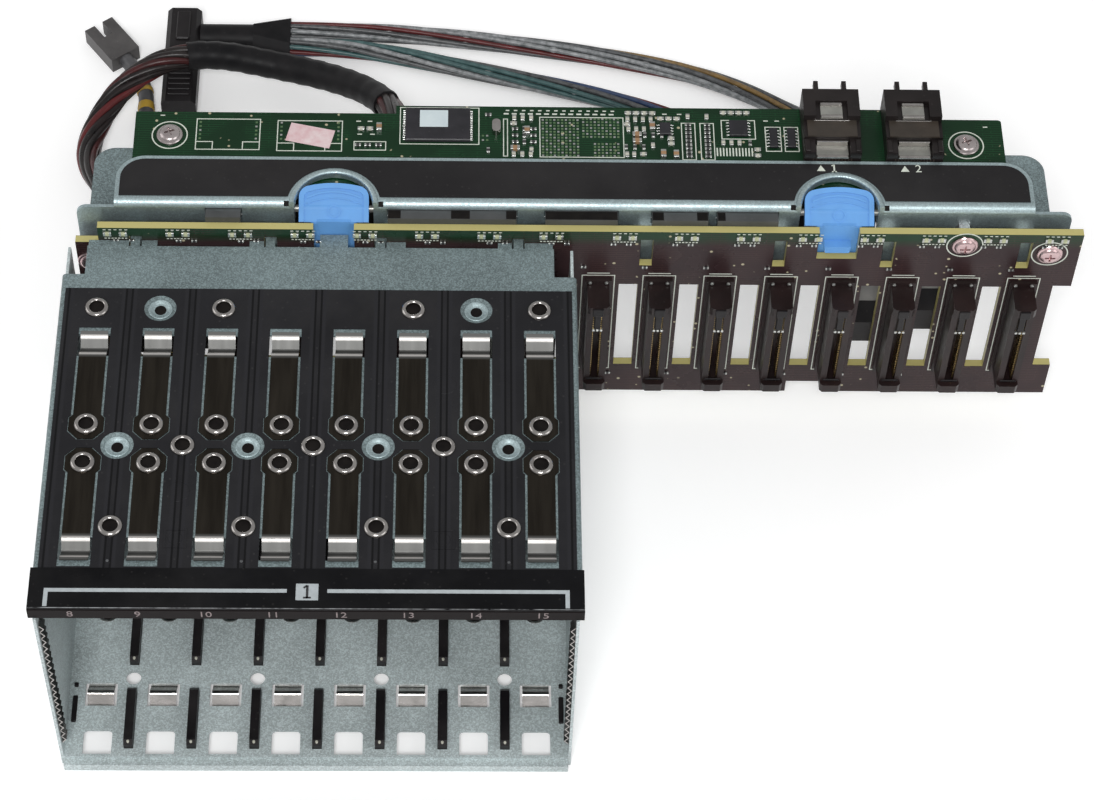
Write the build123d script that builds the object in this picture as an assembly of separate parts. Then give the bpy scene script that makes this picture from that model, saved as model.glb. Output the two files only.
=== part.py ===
from build123d import *
import math
import os

# Bays and sheet metal of the cage
bay_pitch = 17.3
cage_bays = 8
board_slots = 16
sheet = 0.8
bay_side_gap = 0.2
floor_height = 4.0
clear_height = 74.5
cage_depth = 119.4
cover_front = 1.1
cover_bend = 1.2
cover_flange = 3.0
corner_cut_width = 6.2
corner_cut_depth = 10.0

# Front lip of the floor
lip_depth = 2.2
lip_drop = 1.0

# Leaf springs and their windows, with shares of the depth behind the band
spring_width = 7.4
spring_sheet = 0.3
spring_pad_half = 4.7
spring_pad_corner = 2.6
spring_reach_share = 0.2495
spring_dip = 2.6
spring_dip_half = 2.9
spring_dip_round = 0.9
spring_tip = 1.3
spring_tip_rise = 0.5
front_rivet_share = 0.3107
rear_rivet_share = 0.4275
window_length = 7.4
window_side_gap = 0.7

# Hollow rivets
rivet_bore = 2.0
rivet_head = 3.3
rivet_head_height = 0.9
rivet_taper = 35.0
rivet_sides = 12

# Rows on the cover, as shares of its depth behind the band, and its dished screw holes
rear_row_share = 0.7947
middle_row_share = 0.3644
front_row_share = 0.1224
rear_rivet_bays = (0, 2, 5, 7)
rear_dish_bays = (1, 6)
middle_rivet_bays = (1.5, 3.5, 5.5)
odd_gap_bays = (0.5, 2.5, 4.5, 6.5)
dish_radius = 4.4
dish_depth = 1.0
dish_hole = 1.75

# Film and front band on the cover
film_sheet = 0.2
film_rear_gap = 15.0
film_side = 1.4
film_gap = 0.6
film_cut_gap = 5.8
band_sheet = 0.6
band_depth = 13.2
band_overhang = 0.4
band_lip = 4.2

# Floor cut-outs
notch_width = 7.9
notch_length = 7.5
notch_corner = 1.2
floor_hole_y = 25.0
floor_hole = 2.1

# Guide rails
rail_width = 2.5
rail_height = 3.0
rail_fit = 0.1
rail_foot_width = 4.2
rail_foot = 0.8
rail_front_start = 2.6
rail_front_end = 20.7
rail_rear_start = 29.2
rail_rear_gap = 11.4
rail_break = 5.4

# Finger gasket strips
gasket_sheet = 0.3
gasket_wave = 3.2
gasket_height = 1.1
gasket_width = 3.0
gasket_inset = 1.0
gasket_end_gap = 6.0

# Backplane board
board_gap = 0.1
stop_tab = 2.0
stop_tab_spans = ((-64.5, -53.4), (-49.8, -45.5), (-19.9, -15.9), (18.2, 23.5), (49.2, 53.1), (56.7, 64.5))
board_thickness = 2.36
board_bottom = 9.5
board_rise = 5.2
board_left_margin = 7.95
board_right_margin = 13.95
left_step_width = 6.6
left_step_drop = 6.3
right_step_width = 5.2
right_step_bottom = 14.0
right_step_top = 52.0
foot_notch_width = 10.7
foot_notch_height = 5.0
foot_notch_x = 140.9
vent_width = 5.4
vent_height = 38.4
vent_bottom = 13.0
hook_offsets = (-51.6, -14.1, 16.4, 54.9)
second_hook_gap = 4.1
hook_width = 2.6
hook_rise = 3.0
hook_slot_width = 3.5
hook_slot_height = 11.5
hook_slot_drop = 3.5
hook_gap = 0.3

# Drive connectors on the backplane
connector_length = 42.5
connector_bottom = 12.0
connector_base_width = 7.7
connector_base = 1.4
connector_width = 6.2
connector_depth = 8.4
connector_end = 1.4
connector_slot_width = 2.6
connector_slot_length = 35.0
connector_slot_depth = 6.0
post_length = 3.2
post_rise = 1.6
contact_sheet = 0.3
contact_length = 33.0
contact_depth = 4.5

# Slot status lights
light_size = 2.3
light_pitch = 4.4
light_offset = 3.5
second_light_offset = 6.7
light_height = 0.9
light_drop = 2.3

# Screws and standoffs
screw_shank = 1.5
screw_flange = 3.7
screw_flange_height = 0.8
screw_dome = 2.9
screw_dome_height = 0.9
screw_dome_top = 2.1
screw_fit = 0.2
standoff_radius = 3.0
standoff = 3.1
left_screw_inset = 3.7
left_screw_gap = 6.0
right_screws = ((32.9, 4.7), (8.5, 8.3))

# Bracket behind the backplane
bracket_sheet = 1.0
bracket_height = 27.0
bracket_left_inset = 0.6
bracket_right_inset = 2.9
bracket_corner = 3.0
shelf_rise = 4.5
shelf_depth = 17.0
shelf_left_inset = 11.2
shelf_right_inset = 13.7
shelf_corner = 8.0
bracket_bend = 2.0
window_places = ((-32.3, -22.0), (18.2, 54.6), (62.0, 82.8), (91.8, 108.0), (110.0, 127.6))
window_drop = 6.0
window_height = 5.0
bridge_gap = 0.3
shelf_film_front = 2.6
shelf_film_side = 1.2

# Release latches
latch_places = (3.5, 144.5)
scoop_radius = 10.8
scoop_rim = 1.6
scoop_rim_rise = 0.8
scoop_roll = 0.7
scoop_rim_drop = 0.6
latch_cut_gap = 0.2
latch_cut_bottom = 4.0
latch_notch_width = 11.3
latch_notch_gap = 2.4
pivot_back = 2.2
pin_radius = 1.0
pin_fit = 0.05
pin_end = 0.4
ear_sheet = 1.0
ear_depth = 6.0
ear_drop = 4.0
boss_radius = 2.3
boss_inset = 0.3
stem_gap = 0.35
stem_thickness = 2.2
stem_top_half = 4.6
stem_bottom_half = 3.4
hook_front_gap = 0.2
hook_under_gap = 0.3
hook_height = 2.6
latch_tab_half = 3.9
paddle_slope = 32.0
paddle_half = 9.7
paddle_side = 9.4
paddle_length = 10.9
paddle_corner = 3.2
paddle_thickness = 2.0
paddle_rim = 1.4
paddle_recess = 0.5
paddle_start_gap = 0.1

# Expander tray and board
tray_drop = 5.0
tray_sheet = 0.8
tray_depth = 23.0
tray_left_inset = 4.1
tray_right_inset = 8.7
tray_corner = 6.0
tray_flange = 10.0
tray_latch_half = 13.5
tray_latch_depth = 12.5
tray_ear_depth = 6.5
tray_ear_inset = 14.0
spacer = 1.4
spacer_radius = 3.2
expander_thickness = 1.6
expander_left_inset = 15.0
expander_right_inset = 20.0
expander_front = 6.5
expander_depth = 27.5
expander_step = 3.0
expander_step_x = 20.2
expander_corner = 1.0
expander_rear_cut = 3.5
left_expander_screw = (10.0, 18.8)
right_expander_screw = (10.8, 17.5)
chip_x = 32.1
chip_back = 23.1
chip_length = 18.4
chip_width = 12.0
chip_height = 1.1
crystal_x = 48.7
crystal_back = 21.8
crystal_length = 4.6
crystal_width = 2.4
crystal_height = 2.2

# Ports on the expander
port_x = 143.4
port_pitch = 23.2
port_count = 2
port_front_gap = 0.6
port_width = 16.0
port_length = 20.8
port_low = 5.2
port_middle = 6.0
port_height = 8.4
port_low_length = 5.0
port_rear_start = 10.8
port_front_slot = 9.8
socket_width = 12.6
socket_height = 4.4
socket_floor = 1.6
socket_depth = 9.4
prong_offset = 4.0
prong_width = 1.3
prong_length = 3.0
prong_height = 2.2
port_cover = 0.5
port_cover_inset = 1.0
clip_width = 9.0
leaf_width = 6.2
leaf_length = 5.6
leaf_recess = 1.4
leaf_sheet = 0.4

# Headers and plugs for the cables
header_depth = 8.0
header_length = 16.0
header_height = 9.0
plug_depth = 12.0
plug_inset = 0.8
header_places = {"power_right": (24.0, 44.0), "power_left": (-52.0, 28.0), "grey": (-34.0, 30.0),
                 "signal_rear": (178.0, 42.0), "signal_front": (158.0, 36.0)}

# Cable sizes, and their routes on the table, with Y from the face of the header plugs
power_radius = 4.0
signal_radius = 3.2
sleeve_radius = 4.6
grey_radius = 2.5
bend_share = 0.45
cable_sides = 6
power_route = ((24, 16.1, 44), (24, 40, 41), (20, 64, 32), (11, 84, 21), (-4, 98, 12.5), (-22, 104.5, 10.5),
               (-40, 105, 15), (-56, 102, 15.8), (-69.5, 95, 10), (-77, 82, 6.5), (-79, 66, 8.5), (-71, 48, 16),
               (-55.5, 24, 26), (-52, 9, 28))
signal_rear_route = ((178, 16.1, 42), (177, 38.1, 34), (171, 62, 17), (153, 85, 5.2), (122, 106, 3.5),
                     (90, 114.5, 3.5), (58, 120, 3.5), (28, 123.4, 3.9), (4, 124.3, 4.6))
signal_front_route = ((158, 16.1, 36), (156, 36.1, 28), (148, 57, 13), (129, 77, 4.2), (98, 93.5, 3.5),
                      (68, 102.5, 3.5), (38, 110, 3.6), (12, 116, 4.2), (-4, 117.5, 4.6))
signal_rear_end = (-17, 124.3, 4.6)
signal_front_end = (-17, 117.5, 4.6)
boot_length = 12.0
boot_width = 15.4
boot_height = 8.0
boot_corner = 2.4
sleeve_end = 29.0
grey_route = ((-34, 14.1, 30), (-37, 31.1, 23), (-47, 50, 9), (-57, 68, 3.6), (-62, 86, 2.8), (-62.5, 103, 2.8))
grey_end = (-70, 113, 2.8)
angle_plug_width = 11.0
angle_plug_length = 40.0
angle_plug_height = 9.2
angle_plug_round = 1.5
angle_plug_lead = 9.0
flat_plug_length = 16.0
flat_plug_width = 10.4
flat_plug_height = 5.6
flat_plug_prong = 6.0
flat_plug_gap = 3.0

# Derived places
inner_half = cage_bays * bay_pitch / 2 + bay_side_gap
wall_half = inner_half + sheet
cover_half = wall_half + sheet
floor_under = floor_height - sheet
cover_under = floor_height + clear_height
cover_top = cover_under + sheet
open_depth = cage_depth - band_depth
spring_reach = spring_reach_share * open_depth
front_rivet_y = band_depth + front_rivet_share * open_depth
rear_rivet_y = band_depth + rear_rivet_share * open_depth
front_row_y = band_depth + front_row_share * open_depth
middle_row_y = band_depth + middle_row_share * open_depth
rear_row_y = band_depth + rear_row_share * open_depth
film_rear = cage_depth - film_rear_gap
film_cut_end = spring_reach + film_cut_gap
rail_rear_end = cage_depth - rail_rear_gap
window_width = spring_width + 2 * window_side_gap
board_front = cage_depth + stop_tab + board_gap
board_back = board_front + board_thickness
board_top = cover_top + board_rise
first_slot = -(cage_bays - 1) / 2 * bay_pitch
board_left = first_slot - board_left_margin
board_right = first_slot + (board_slots - 1) * bay_pitch + board_right_margin
bracket_front = board_back + standoff
bracket_back = bracket_front + bracket_sheet
bracket_left = board_left + bracket_left_inset
bracket_right = board_right - bracket_right_inset
shelf_top = board_top + shelf_rise
shelf_under = shelf_top - bracket_sheet
shelf_rear = bracket_front + shelf_depth
bracket_bottom = shelf_top - bracket_height
shelf_left = board_left + shelf_left_inset
shelf_right = board_right - shelf_right_inset
connector_top = board_bottom + connector_bottom + connector_length
board_screw_places = [(board_left + left_screw_inset, connector_top + left_screw_gap)]
board_screw_places += [(board_right - inset, board_top - drop) for inset, drop in right_screws]
pivot_y = bracket_front + pivot_back
pivot_z = board_top
cut_half = scoop_radius + latch_cut_gap
stem_front = board_back + stem_gap
hook_top = cover_under - hook_under_gap
hook_low = hook_top - hook_height
tray_top = shelf_top - tray_drop
tray_under = tray_top - tray_sheet
tray_left = board_left + tray_left_inset
tray_right = board_right - tray_right_inset
tray_rear = bracket_back + tray_depth
expander_under = tray_top + spacer
expander_top = expander_under + expander_thickness
expander_left = board_left + expander_left_inset
expander_right = board_right - expander_right_inset
expander_y = bracket_back + expander_front
expander_screw_places = [(expander_left + left_expander_screw[0], expander_y + left_expander_screw[1]),
                         (expander_right - right_expander_screw[0], expander_y + right_expander_screw[1])]
port_front = shelf_rear + port_front_gap
plug_face = board_back + header_depth + plug_depth


def slot_x(index):
    """The middle of a bay or board slot, counted from the left."""
    return first_slot + index * bay_pitch


def block(x0, x1, y0, y1, z0, z1):
    """A box between two corners."""
    return Pos((x0 + x1) / 2, (y0 + y1) / 2, (z0 + z1) / 2) * Box(x1 - x0, y1 - y0, z1 - z0)


def area(x0, x1, y0, y1):
    """A flat rectangle between two corners."""
    return Pos((x0 + x1) / 2, (y0 + y1) / 2) * Rectangle(x1 - x0, y1 - y0)


def flat(sketch, low, thickness):
    """A sketch drawn in X and Y, made solid upwards from a height."""
    return extrude(Pos(0, 0, low) * sketch, thickness)


def upright(sketch, front, thickness):
    """A sketch drawn in X and Z, made solid backwards from a front face."""
    return extrude(Plane.XZ.offset(-front - thickness) * sketch, thickness)


def across(sketch, left, width):
    """A sketch drawn in Y and Z, made solid along X."""
    return extrude(Plane.YZ.offset(left) * sketch, width)


def polygon(*points):
    """A face inside straight edges."""
    return make_face(Polyline(*points, close=True))


def rod(radius, start, end):
    """A round bar between two points."""
    along = Vector(*end) - Vector(*start)
    return extrude(Plane(origin=start, z_dir=along) * Circle(radius), along.length)


def save(name, pieces):
    """Writes one solid, or a group of solids, as a named piece."""
    shape = Compound(children=list(pieces)) if isinstance(pieces, (list, tuple)) else pieces
    export_step(shape, f"parts/{name}.step")


def spring_places():
    """The rivet of each cover spring, with the way that its leaf points."""
    front = [(slot_x(i), front_rivet_y, -1) for i in range(cage_bays)]
    rear = [(slot_x(i), rear_rivet_y, 1) for i in range(cage_bays)]
    return front, rear


def window_sketch(places):
    """The window under each spring's dip."""
    return [Pos(x, y + way * spring_reach) * Rectangle(window_width, window_length)
            for x, y, way in places]


def plain_rivet_places():
    """Rivets of the cover that hold no spring."""
    rear = [(slot_x(i), rear_row_y) for i in rear_rivet_bays]
    middle = [(slot_x(i), middle_row_y) for i in middle_rivet_bays]
    front = [(slot_x(i), front_row_y) for i in odd_gap_bays]
    return rear + middle + front


def dish_places():
    """Dished screw holes of the cover."""
    return [(slot_x(i), rear_row_y) for i in rear_dish_bays] + [(slot_x(i), middle_row_y) for i in odd_gap_bays]


def rail_spans():
    """The lengths of the front and rear guide rails."""
    return (rail_front_start, rail_front_end), (rail_rear_start, rail_rear_end)


def upper_rail_spans():
    """The lengths of the upper rails, broken at the middle row of screw holes."""
    front, rear = rail_spans()
    return front, (rear[0], middle_row_y - rail_break), (middle_row_y + rail_break, rear[1])


def cage_floor():
    """A shallow pan, open below, with a stepped front lip."""
    pan = flat(area(-inner_half, inner_half, 0, cage_depth), 0, floor_height)
    pan -= flat(area(-inner_half + sheet, inner_half - sheet, sheet, cage_depth - sheet), 0, floor_under)
    low = floor_height - lip_drop
    step = polygon((0, low), (-lip_depth, low), (-lip_depth, 0), (sheet - lip_depth, 0),
                   (sheet - lip_depth, low - sheet), (0, low - sheet))
    pan += across(step, -inner_half, 2 * inner_half)
    front = spring_places()[0]
    cuts = window_sketch(front)
    notch = Pos(0, sheet + notch_length / 2) * Rectangle(notch_width, notch_length)
    notch = fillet(notch.vertices().group_by(Axis.Y)[-1], notch_corner)
    cuts += [Pos(slot_x(i), 0) * notch for i in range(cage_bays)]
    cuts += [Pos(slot_x(i), floor_hole_y) * Circle(floor_hole) for i in odd_gap_bays]
    slot = rail_width / 2 + rail_fit
    for start, end in rail_spans():
        cuts += [area(slot_x(i + 0.5) - slot, slot_x(i + 0.5) + slot, start - rail_fit, end + rail_fit)
                 for i in range(cage_bays - 1)]
    return pan - [flat(cut, floor_under, sheet) for cut in cuts]


def side_wall(side):
    """A side wall between the floor and the cover, notched for the lip of the front band."""
    left = min(side * inner_half, side * wall_half)
    wall = area(0, cage_depth, 0, cover_under)
    wall -= area(0, cover_front, cover_top + band_sheet - band_lip, cover_under)
    return across(wall, left, sheet)


def cover_tab(x, half, end):
    """A tab on the rear edge of the cover."""
    return block(x - half, x + half, cage_depth - sheet, end, cover_under, cover_top)


def top_cover():
    """The cover, with short side flanges, tabs, board hooks and dished screw holes."""
    shell = block(-cover_half, cover_half, cover_front, cage_depth, cover_top - cover_flange, cover_top)
    long_edges = shell.edges().filter_by(Axis.Y).group_by(Axis.Z)[-1]
    shell = fillet(long_edges, cover_bend)
    shell -= block(-wall_half, wall_half, cover_front, cage_depth, cover_top - cover_flange, cover_under)
    for side in (-1, 1):
        inner = side * (cover_half - corner_cut_width)
        cut = area(min(inner, side * cover_half), max(inner, side * cover_half),
                   cage_depth - corner_cut_depth, cage_depth)
        shell -= flat(cut, cover_top - cover_flange, cover_flange)
    for x0, x1 in stop_tab_spans:
        shell += cover_tab((x0 + x1) / 2, (x1 - x0) / 2, cage_depth + stop_tab)
    for x in hook_offsets:
        hook_end = board_back + hook_gap + sheet
        shell += cover_tab(x, hook_width / 2, hook_end)
        shell += block(x - hook_width / 2, x + hook_width / 2, hook_end - sheet, hook_end,
                       cover_under, cover_top + hook_rise)
    shell += cover_tab(latch_places[0], latch_tab_half, board_back)
    front, rear = spring_places()
    cuts = window_sketch(front + rear)
    cuts += [Pos(x, y) * Circle(dish_radius) for x, y in dish_places()]
    shell -= [flat(cut, cover_under, sheet) for cut in cuts]
    low = cover_top - dish_depth
    dish = polygon((dish_radius, cover_top), (dish_hole, low), (dish_hole, low - sheet), (dish_radius, cover_under))
    ring = revolve(Plane.XZ * dish, Axis.Z)
    return shell + [Pos(x, y, 0) * ring for x, y in dish_places()]


def cover_film():
    """The black film on the cover, cut out around springs, rivets and screw holes."""
    half = cover_half - film_side
    sheet_area = area(-half, half, band_depth + film_sheet, film_rear)
    leaf_half = spring_width / 2 + film_gap
    front, rear = spring_places()
    cuts = []
    for x, y, way in front + rear:
        cuts.append(Pos(x, y) * spring_pad(spring_pad_half + film_sheet))
        cuts.append(area(x - leaf_half, x + leaf_half, min(y, y + way * film_cut_end),
                         max(y, y + way * film_cut_end)))
    cuts += [Pos(x, y) * Circle(dish_radius) for x, y in dish_places()]
    return flat(sheet_area - cuts, cover_top, film_sheet)


def front_band():
    """The black band bent over the front edge of the cover."""
    top = cover_top + band_sheet
    front = cover_front - band_sheet
    profile = polygon((band_depth, cover_top), (band_depth, top), (front, top), (front, top - band_lip),
                      (cover_front, top - band_lip), (cover_front, cover_top))
    half = cover_half + band_overhang
    band = across(profile, -half, 2 * half)
    return fillet(band.edges().filter_by(Axis.X).group_by(Axis.Z)[-1].sort_by(Axis.Y)[0], band_sheet)


def spring_pad(half):
    """The outline of a spring's riveted end."""
    return chamfer(Rectangle(2 * half, 2 * half).vertices(), spring_pad_corner)


def leaf_spring():
    """One spring: a riveted pad, a flat leaf and a dip that reaches into the bay."""
    mid = spring_sheet / 2
    start = spring_reach - spring_dip_half
    end = spring_reach + spring_dip_half
    line = FilletPolyline((0, mid), (start, mid), (spring_reach, mid - spring_dip), (end, mid),
                          (end + spring_tip, mid + spring_tip_rise), radius=[0, spring_dip_round, 0])
    leaf = across(trace(line, spring_sheet), -spring_width / 2, spring_width)
    return leaf + flat(spring_pad(spring_pad_half), 0, spring_sheet)


def on_cover(piece, places):
    """Copies of a piece on the cover, turned to point forwards or backwards."""
    return [Pos(x, y, cover_top) * Rot(0, 0, 90 - way * 90) * piece for x, y, way in places]


def under_floor(piece, places):
    """Copies of a piece on the underside of the floor."""
    return [Pos(x, y, floor_under) * Rot(0, 180, 90 - way * 90) * piece for x, y, way in places]


def hollow_rivet(seat):
    """The open head of a hollow rivet on its seat."""
    head = extrude(RegularPolygon(rivet_head, rivet_sides), rivet_head_height, taper=rivet_taper)
    bore = extrude(RegularPolygon(rivet_bore, rivet_sides), rivet_head_height)
    return Pos(0, 0, seat) * (head - bore)


def lower_rail(index, span):
    """A rail pushed up through its slot, with a foot under the floor."""
    x = slot_x(index + 0.5)
    stem = block(x - rail_width / 2, x + rail_width / 2, *span, floor_under, floor_height + rail_height)
    stem = chamfer(stem.edges().filter_by(Axis.X).group_by(Axis.Z)[-1], rail_width / 2 - rail_fit)
    half = rail_foot_width / 2
    return stem + block(x - half, x + half, *span, floor_under - rail_foot, floor_under)


def upper_rail(index, span):
    """A rail held under the cover by its flange."""
    x = slot_x(index + 0.5)
    half = rail_foot_width / 2
    flange = block(x - half, x + half, *span, cover_under - rail_foot, cover_under)
    stem = block(x - rail_width / 2, x + rail_width / 2, *span, cover_under - rail_height, cover_under)
    return flange + chamfer(stem.edges().filter_by(Axis.X).group_by(Axis.Z)[0], rail_width / 2 - rail_fit)


def gasket_strip(side):
    """A zigzag strip of spring fingers behind the front edge of a side wall."""
    low = floor_height + gasket_end_gap
    waves = int((clear_height - 2 * gasket_end_gap) / gasket_wave)
    base = side * (inner_half - gasket_sheet / 2)
    points = []
    for i in range(waves):
        points.append((base, low + i * gasket_wave))
        points.append((base - side * gasket_height, low + (i + 0.5) * gasket_wave))
    points.append((base, low + waves * gasket_wave))
    ribbon = trace(Polyline(*points), gasket_sheet)
    strip = upright(ribbon, gasket_inset, gasket_width)
    room = block(-inner_half, inner_half, 0, cage_depth, floor_height, cover_under)
    return strip & room


def backplane_board():
    """The backplane with vents, hook slots, latch notches and its stepped ends."""
    outline = area(board_left, board_right, board_bottom, board_top)
    outline -= area(board_left, board_left + left_step_width, board_top - left_step_drop, board_top)
    outline -= area(board_right - right_step_width, board_right, board_bottom + right_step_bottom,
                    board_bottom + right_step_top)
    foot_half = foot_notch_width / 2
    outline -= area(foot_notch_x - foot_half, foot_notch_x + foot_half, board_bottom,
                    board_bottom + foot_notch_height)
    vent = Rectangle(vent_width, vent_height)
    vent_middle = board_bottom + vent_bottom + vent_height / 2
    outline -= [Pos(slot_x(i + 0.5), vent_middle) * vent for i in range(board_slots - 1)]
    slot_top = board_top - hook_slot_drop
    for shift in (0, cage_bays * bay_pitch + second_hook_gap):
        for x in hook_offsets:
            outline -= area(x + shift - hook_slot_width / 2, x + shift + hook_slot_width / 2,
                            slot_top - hook_slot_height, slot_top)
    for x in latch_places:
        outline -= area(x - latch_notch_width / 2, x + latch_notch_width / 2, hook_low - latch_notch_gap,
                        board_top)
    outline -= [Pos(x, z) * Circle(screw_shank + screw_fit) for x, z in board_screw_places]
    return upright(outline, board_front, board_thickness)


def drive_connector():
    """One upright connector: base, slotted body and a guide post at each end."""
    base = upright(Rectangle(connector_base_width, connector_length), board_front - connector_base, connector_base)
    length = connector_length - 2 * connector_end
    front = board_front - connector_depth
    body = upright(Rectangle(connector_width, length), front, connector_depth - connector_base)
    post = Rectangle(connector_width, post_length)
    shift = (length - post_length) / 2
    posts = [upright(Pos(0, way * shift) * post, front - post_rise, post_rise) for way in (-1, 1)]
    posts = [chamfer(p.edges().filter_by(Axis.Z).group_by(Axis.Y)[0], post_rise / 2) for p in posts]
    slot = upright(Rectangle(connector_slot_width, connector_slot_length), front, connector_slot_depth)
    return base + body + posts - slot


def connector_height():
    """The middle of the drive connectors."""
    return board_bottom + connector_bottom + connector_length / 2


def connector_contacts():
    """The two contact strips in each connector's slot."""
    back = board_front - connector_depth + connector_slot_depth
    strips = []
    for way in (-1, 1):
        x = way * (connector_slot_width - contact_sheet) / 2
        strip = upright(Pos(x, 0) * Rectangle(contact_sheet, contact_length), back - contact_depth, contact_depth)
        strips.append(strip)
    return [Pos(slot_x(i), 0, connector_height()) * strip for i in range(board_slots) for strip in strips]


def slot_lights():
    """A pair of lights over each slot."""
    z = board_top - light_drop
    lights = []
    for i in range(board_slots):
        for way in (-0.5, 0.5):
            offset = light_offset if i < cage_bays else second_light_offset
            x = slot_x(i) + offset + way * light_pitch
            lights.append(upright(Pos(x, z) * Rectangle(light_size, light_size), board_front - light_height,
                                  light_height))
    return lights


def washer_screw(length):
    """A washer-head screw, its seat at the origin and its tip downwards."""
    top = screw_flange_height + screw_dome_height
    profile = polygon((0, -length), (screw_shank, -length), (screw_shank, 0), (screw_flange, 0),
                      (screw_dome, screw_flange_height), (screw_dome_top, top), (0, top))
    return revolve(Plane.XZ * profile, Axis.Z)


def board_screws():
    """Screws through the backplane into the bracket."""
    screw = Rot(90, 0, 0) * washer_screw(board_thickness + standoff + bracket_sheet)
    return [Pos(x, board_front, z) * screw for x, z in board_screw_places]


def board_standoffs():
    """Six-sided standoffs between the backplane and the bracket."""
    ring = RegularPolygon(standoff_radius, 6) - Circle(screw_shank + screw_fit)
    return [upright(Pos(x, z) * ring, board_back, standoff) for x, z in board_screw_places]


def rear_bracket():
    """The bent bracket: an upright plate, a shelf, two finger scoops and the pivot ears."""
    corner = shelf_top - bracket_bend
    profile = polygon((bracket_front, bracket_bottom), (bracket_front, shelf_top), (shelf_rear, shelf_top),
                      (shelf_rear, shelf_under), (bracket_back, shelf_under), (bracket_back, bracket_bottom))
    bend = profile.vertices().filter_by_position(Axis.Y, shelf_top, shelf_top).sort_by(Axis.X)[0]
    profile = fillet(bend, bracket_bend)
    inner = profile.vertices().filter_by_position(Axis.Y, shelf_under, shelf_under).sort_by(Axis.X)[0]
    profile = fillet(inner, bracket_bend - bracket_sheet)
    bracket = across(profile, shelf_left, shelf_right - shelf_left)
    bracket = fillet(bracket.edges().filter_by(Axis.Z).group_by(Axis.Y)[-1], shelf_corner)
    for outer, inner in ((bracket_left, shelf_left), (bracket_right, shelf_right)):
        end = area(min(outer, inner), max(outer, inner), bracket_bottom, corner)
        tip = end.vertices().group_by(Axis.Y)[-1].sort_by(lambda v: abs(v.X - outer))[0]
        bracket += upright(fillet(tip, bracket_corner), bracket_front, bracket_sheet)
    window_low = shelf_under - window_drop
    windows = [area(x0, x1, window_low, window_low + window_height) for x0, x1 in window_places]
    holes = [Pos(x, z) * Circle(screw_shank + screw_fit) for x, z in board_screw_places]
    bracket -= [upright(cut, bracket_front, bracket_sheet) for cut in windows + holes]
    for x in latch_places:
        rim = Circle(scoop_radius + scoop_rim) - Circle(scoop_radius)
        rim &= area(-cut_half * 2, cut_half * 2, 0, cut_half * 2)
        low = shelf_under - scoop_rim_drop
        lip = flat(Pos(x, bracket_front) * rim, low, shelf_top + scoop_rim_rise - low)
        bracket += fillet(lip.edges().group_by(Axis.Z)[-1].filter_by(GeomType.CIRCLE), scoop_roll)
    for x in latch_places:
        for side in (-1, 1):
            inner = x + side * cut_half
            outer = inner + side * ear_sheet
            bracket += block(min(inner, outer), max(inner, outer), bracket_front, bracket_back + ear_depth,
                             pivot_z - ear_drop, shelf_under)
    for x in latch_places:
        scoop = Circle(scoop_radius) & area(-scoop_radius, scoop_radius, 0, scoop_radius)
        bracket -= flat(Pos(x, bracket_front) * scoop, bracket_bottom, 2 * bracket_height)
        bracket -= block(x - cut_half, x + cut_half, bracket_front, bracket_back,
                         bracket_bottom + latch_cut_bottom, shelf_top + scoop_rim_rise)
        reach = cut_half + ear_sheet
        bracket -= rod(pin_radius + pin_fit, (x - reach, pivot_y, pivot_z), (x + reach, pivot_y, pivot_z))
    return bracket


def shelf_film():
    """The black film on the shelf, cut out around the scoops."""
    front = bracket_front + shelf_film_front
    film = area(shelf_left + shelf_film_side, shelf_right - shelf_film_side, front, shelf_rear - shelf_film_side)
    film = fillet(film.vertices().group_by(Axis.Y)[-1], shelf_corner - shelf_film_side)
    film -= [Pos(x, bracket_front) * Circle(scoop_radius + scoop_rim + film_gap) for x in latch_places]
    return flat(film, shelf_top, film_sheet)


def paddle_outline(inset):
    """The outline of a latch's paddle, drawn in by an inset at its sides and top."""
    half = paddle_half - inset
    side = paddle_side - inset
    outline = make_face([
        Polyline((-half, side), (-half, 0), (half, 0), (half, side)),
        ThreePointArc((half, side), (0, paddle_length - inset), (-half, side))])
    return fillet(outline.vertices().group_by(Axis.Y)[-1], paddle_corner - inset)


def release_latch(x):
    """A blue latch: a dished paddle, a tapered stem with a hook, and the pivot boss."""
    slope = math.radians(paddle_slope)
    start = board_top + paddle_start_gap
    face = Plane(origin=(x, stem_front, start), x_dir=(1, 0, 0), z_dir=(0, -math.sin(slope), math.cos(slope)))
    paddle = extrude(face * paddle_outline(0), -paddle_thickness)
    paddle -= extrude(face * paddle_outline(paddle_rim), -paddle_recess)
    taper = (stem_top_half - stem_bottom_half) / (start - hook_low)
    hook_half = stem_bottom_half + taper * hook_height
    stem = polygon((x - stem_bottom_half, hook_low), (x + stem_bottom_half, hook_low),
                   (x + stem_top_half, start), (x - stem_top_half, start))
    hook = polygon((x - stem_bottom_half, hook_low), (x + stem_bottom_half, hook_low),
                   (x + hook_half, hook_top), (x - hook_half, hook_top))
    hook_front = board_front + hook_front_gap
    boss_half = paddle_half - boss_inset
    latch = paddle + upright(stem, stem_front, stem_thickness)
    latch += upright(hook, hook_front, stem_front - hook_front)
    latch += rod(boss_radius, (x - boss_half, pivot_y, pivot_z), (x + boss_half, pivot_y, pivot_z))
    return latch - rod(pin_radius + pin_fit, (x - paddle_half, pivot_y, pivot_z), (x + paddle_half, pivot_y, pivot_z))


def pivot_pin(x):
    """A pin through the latch and both ears."""
    reach = cut_half + ear_sheet + pin_end
    return rod(pin_radius, (x - reach, pivot_y, pivot_z), (x + reach, pivot_y, pivot_z))


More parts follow.
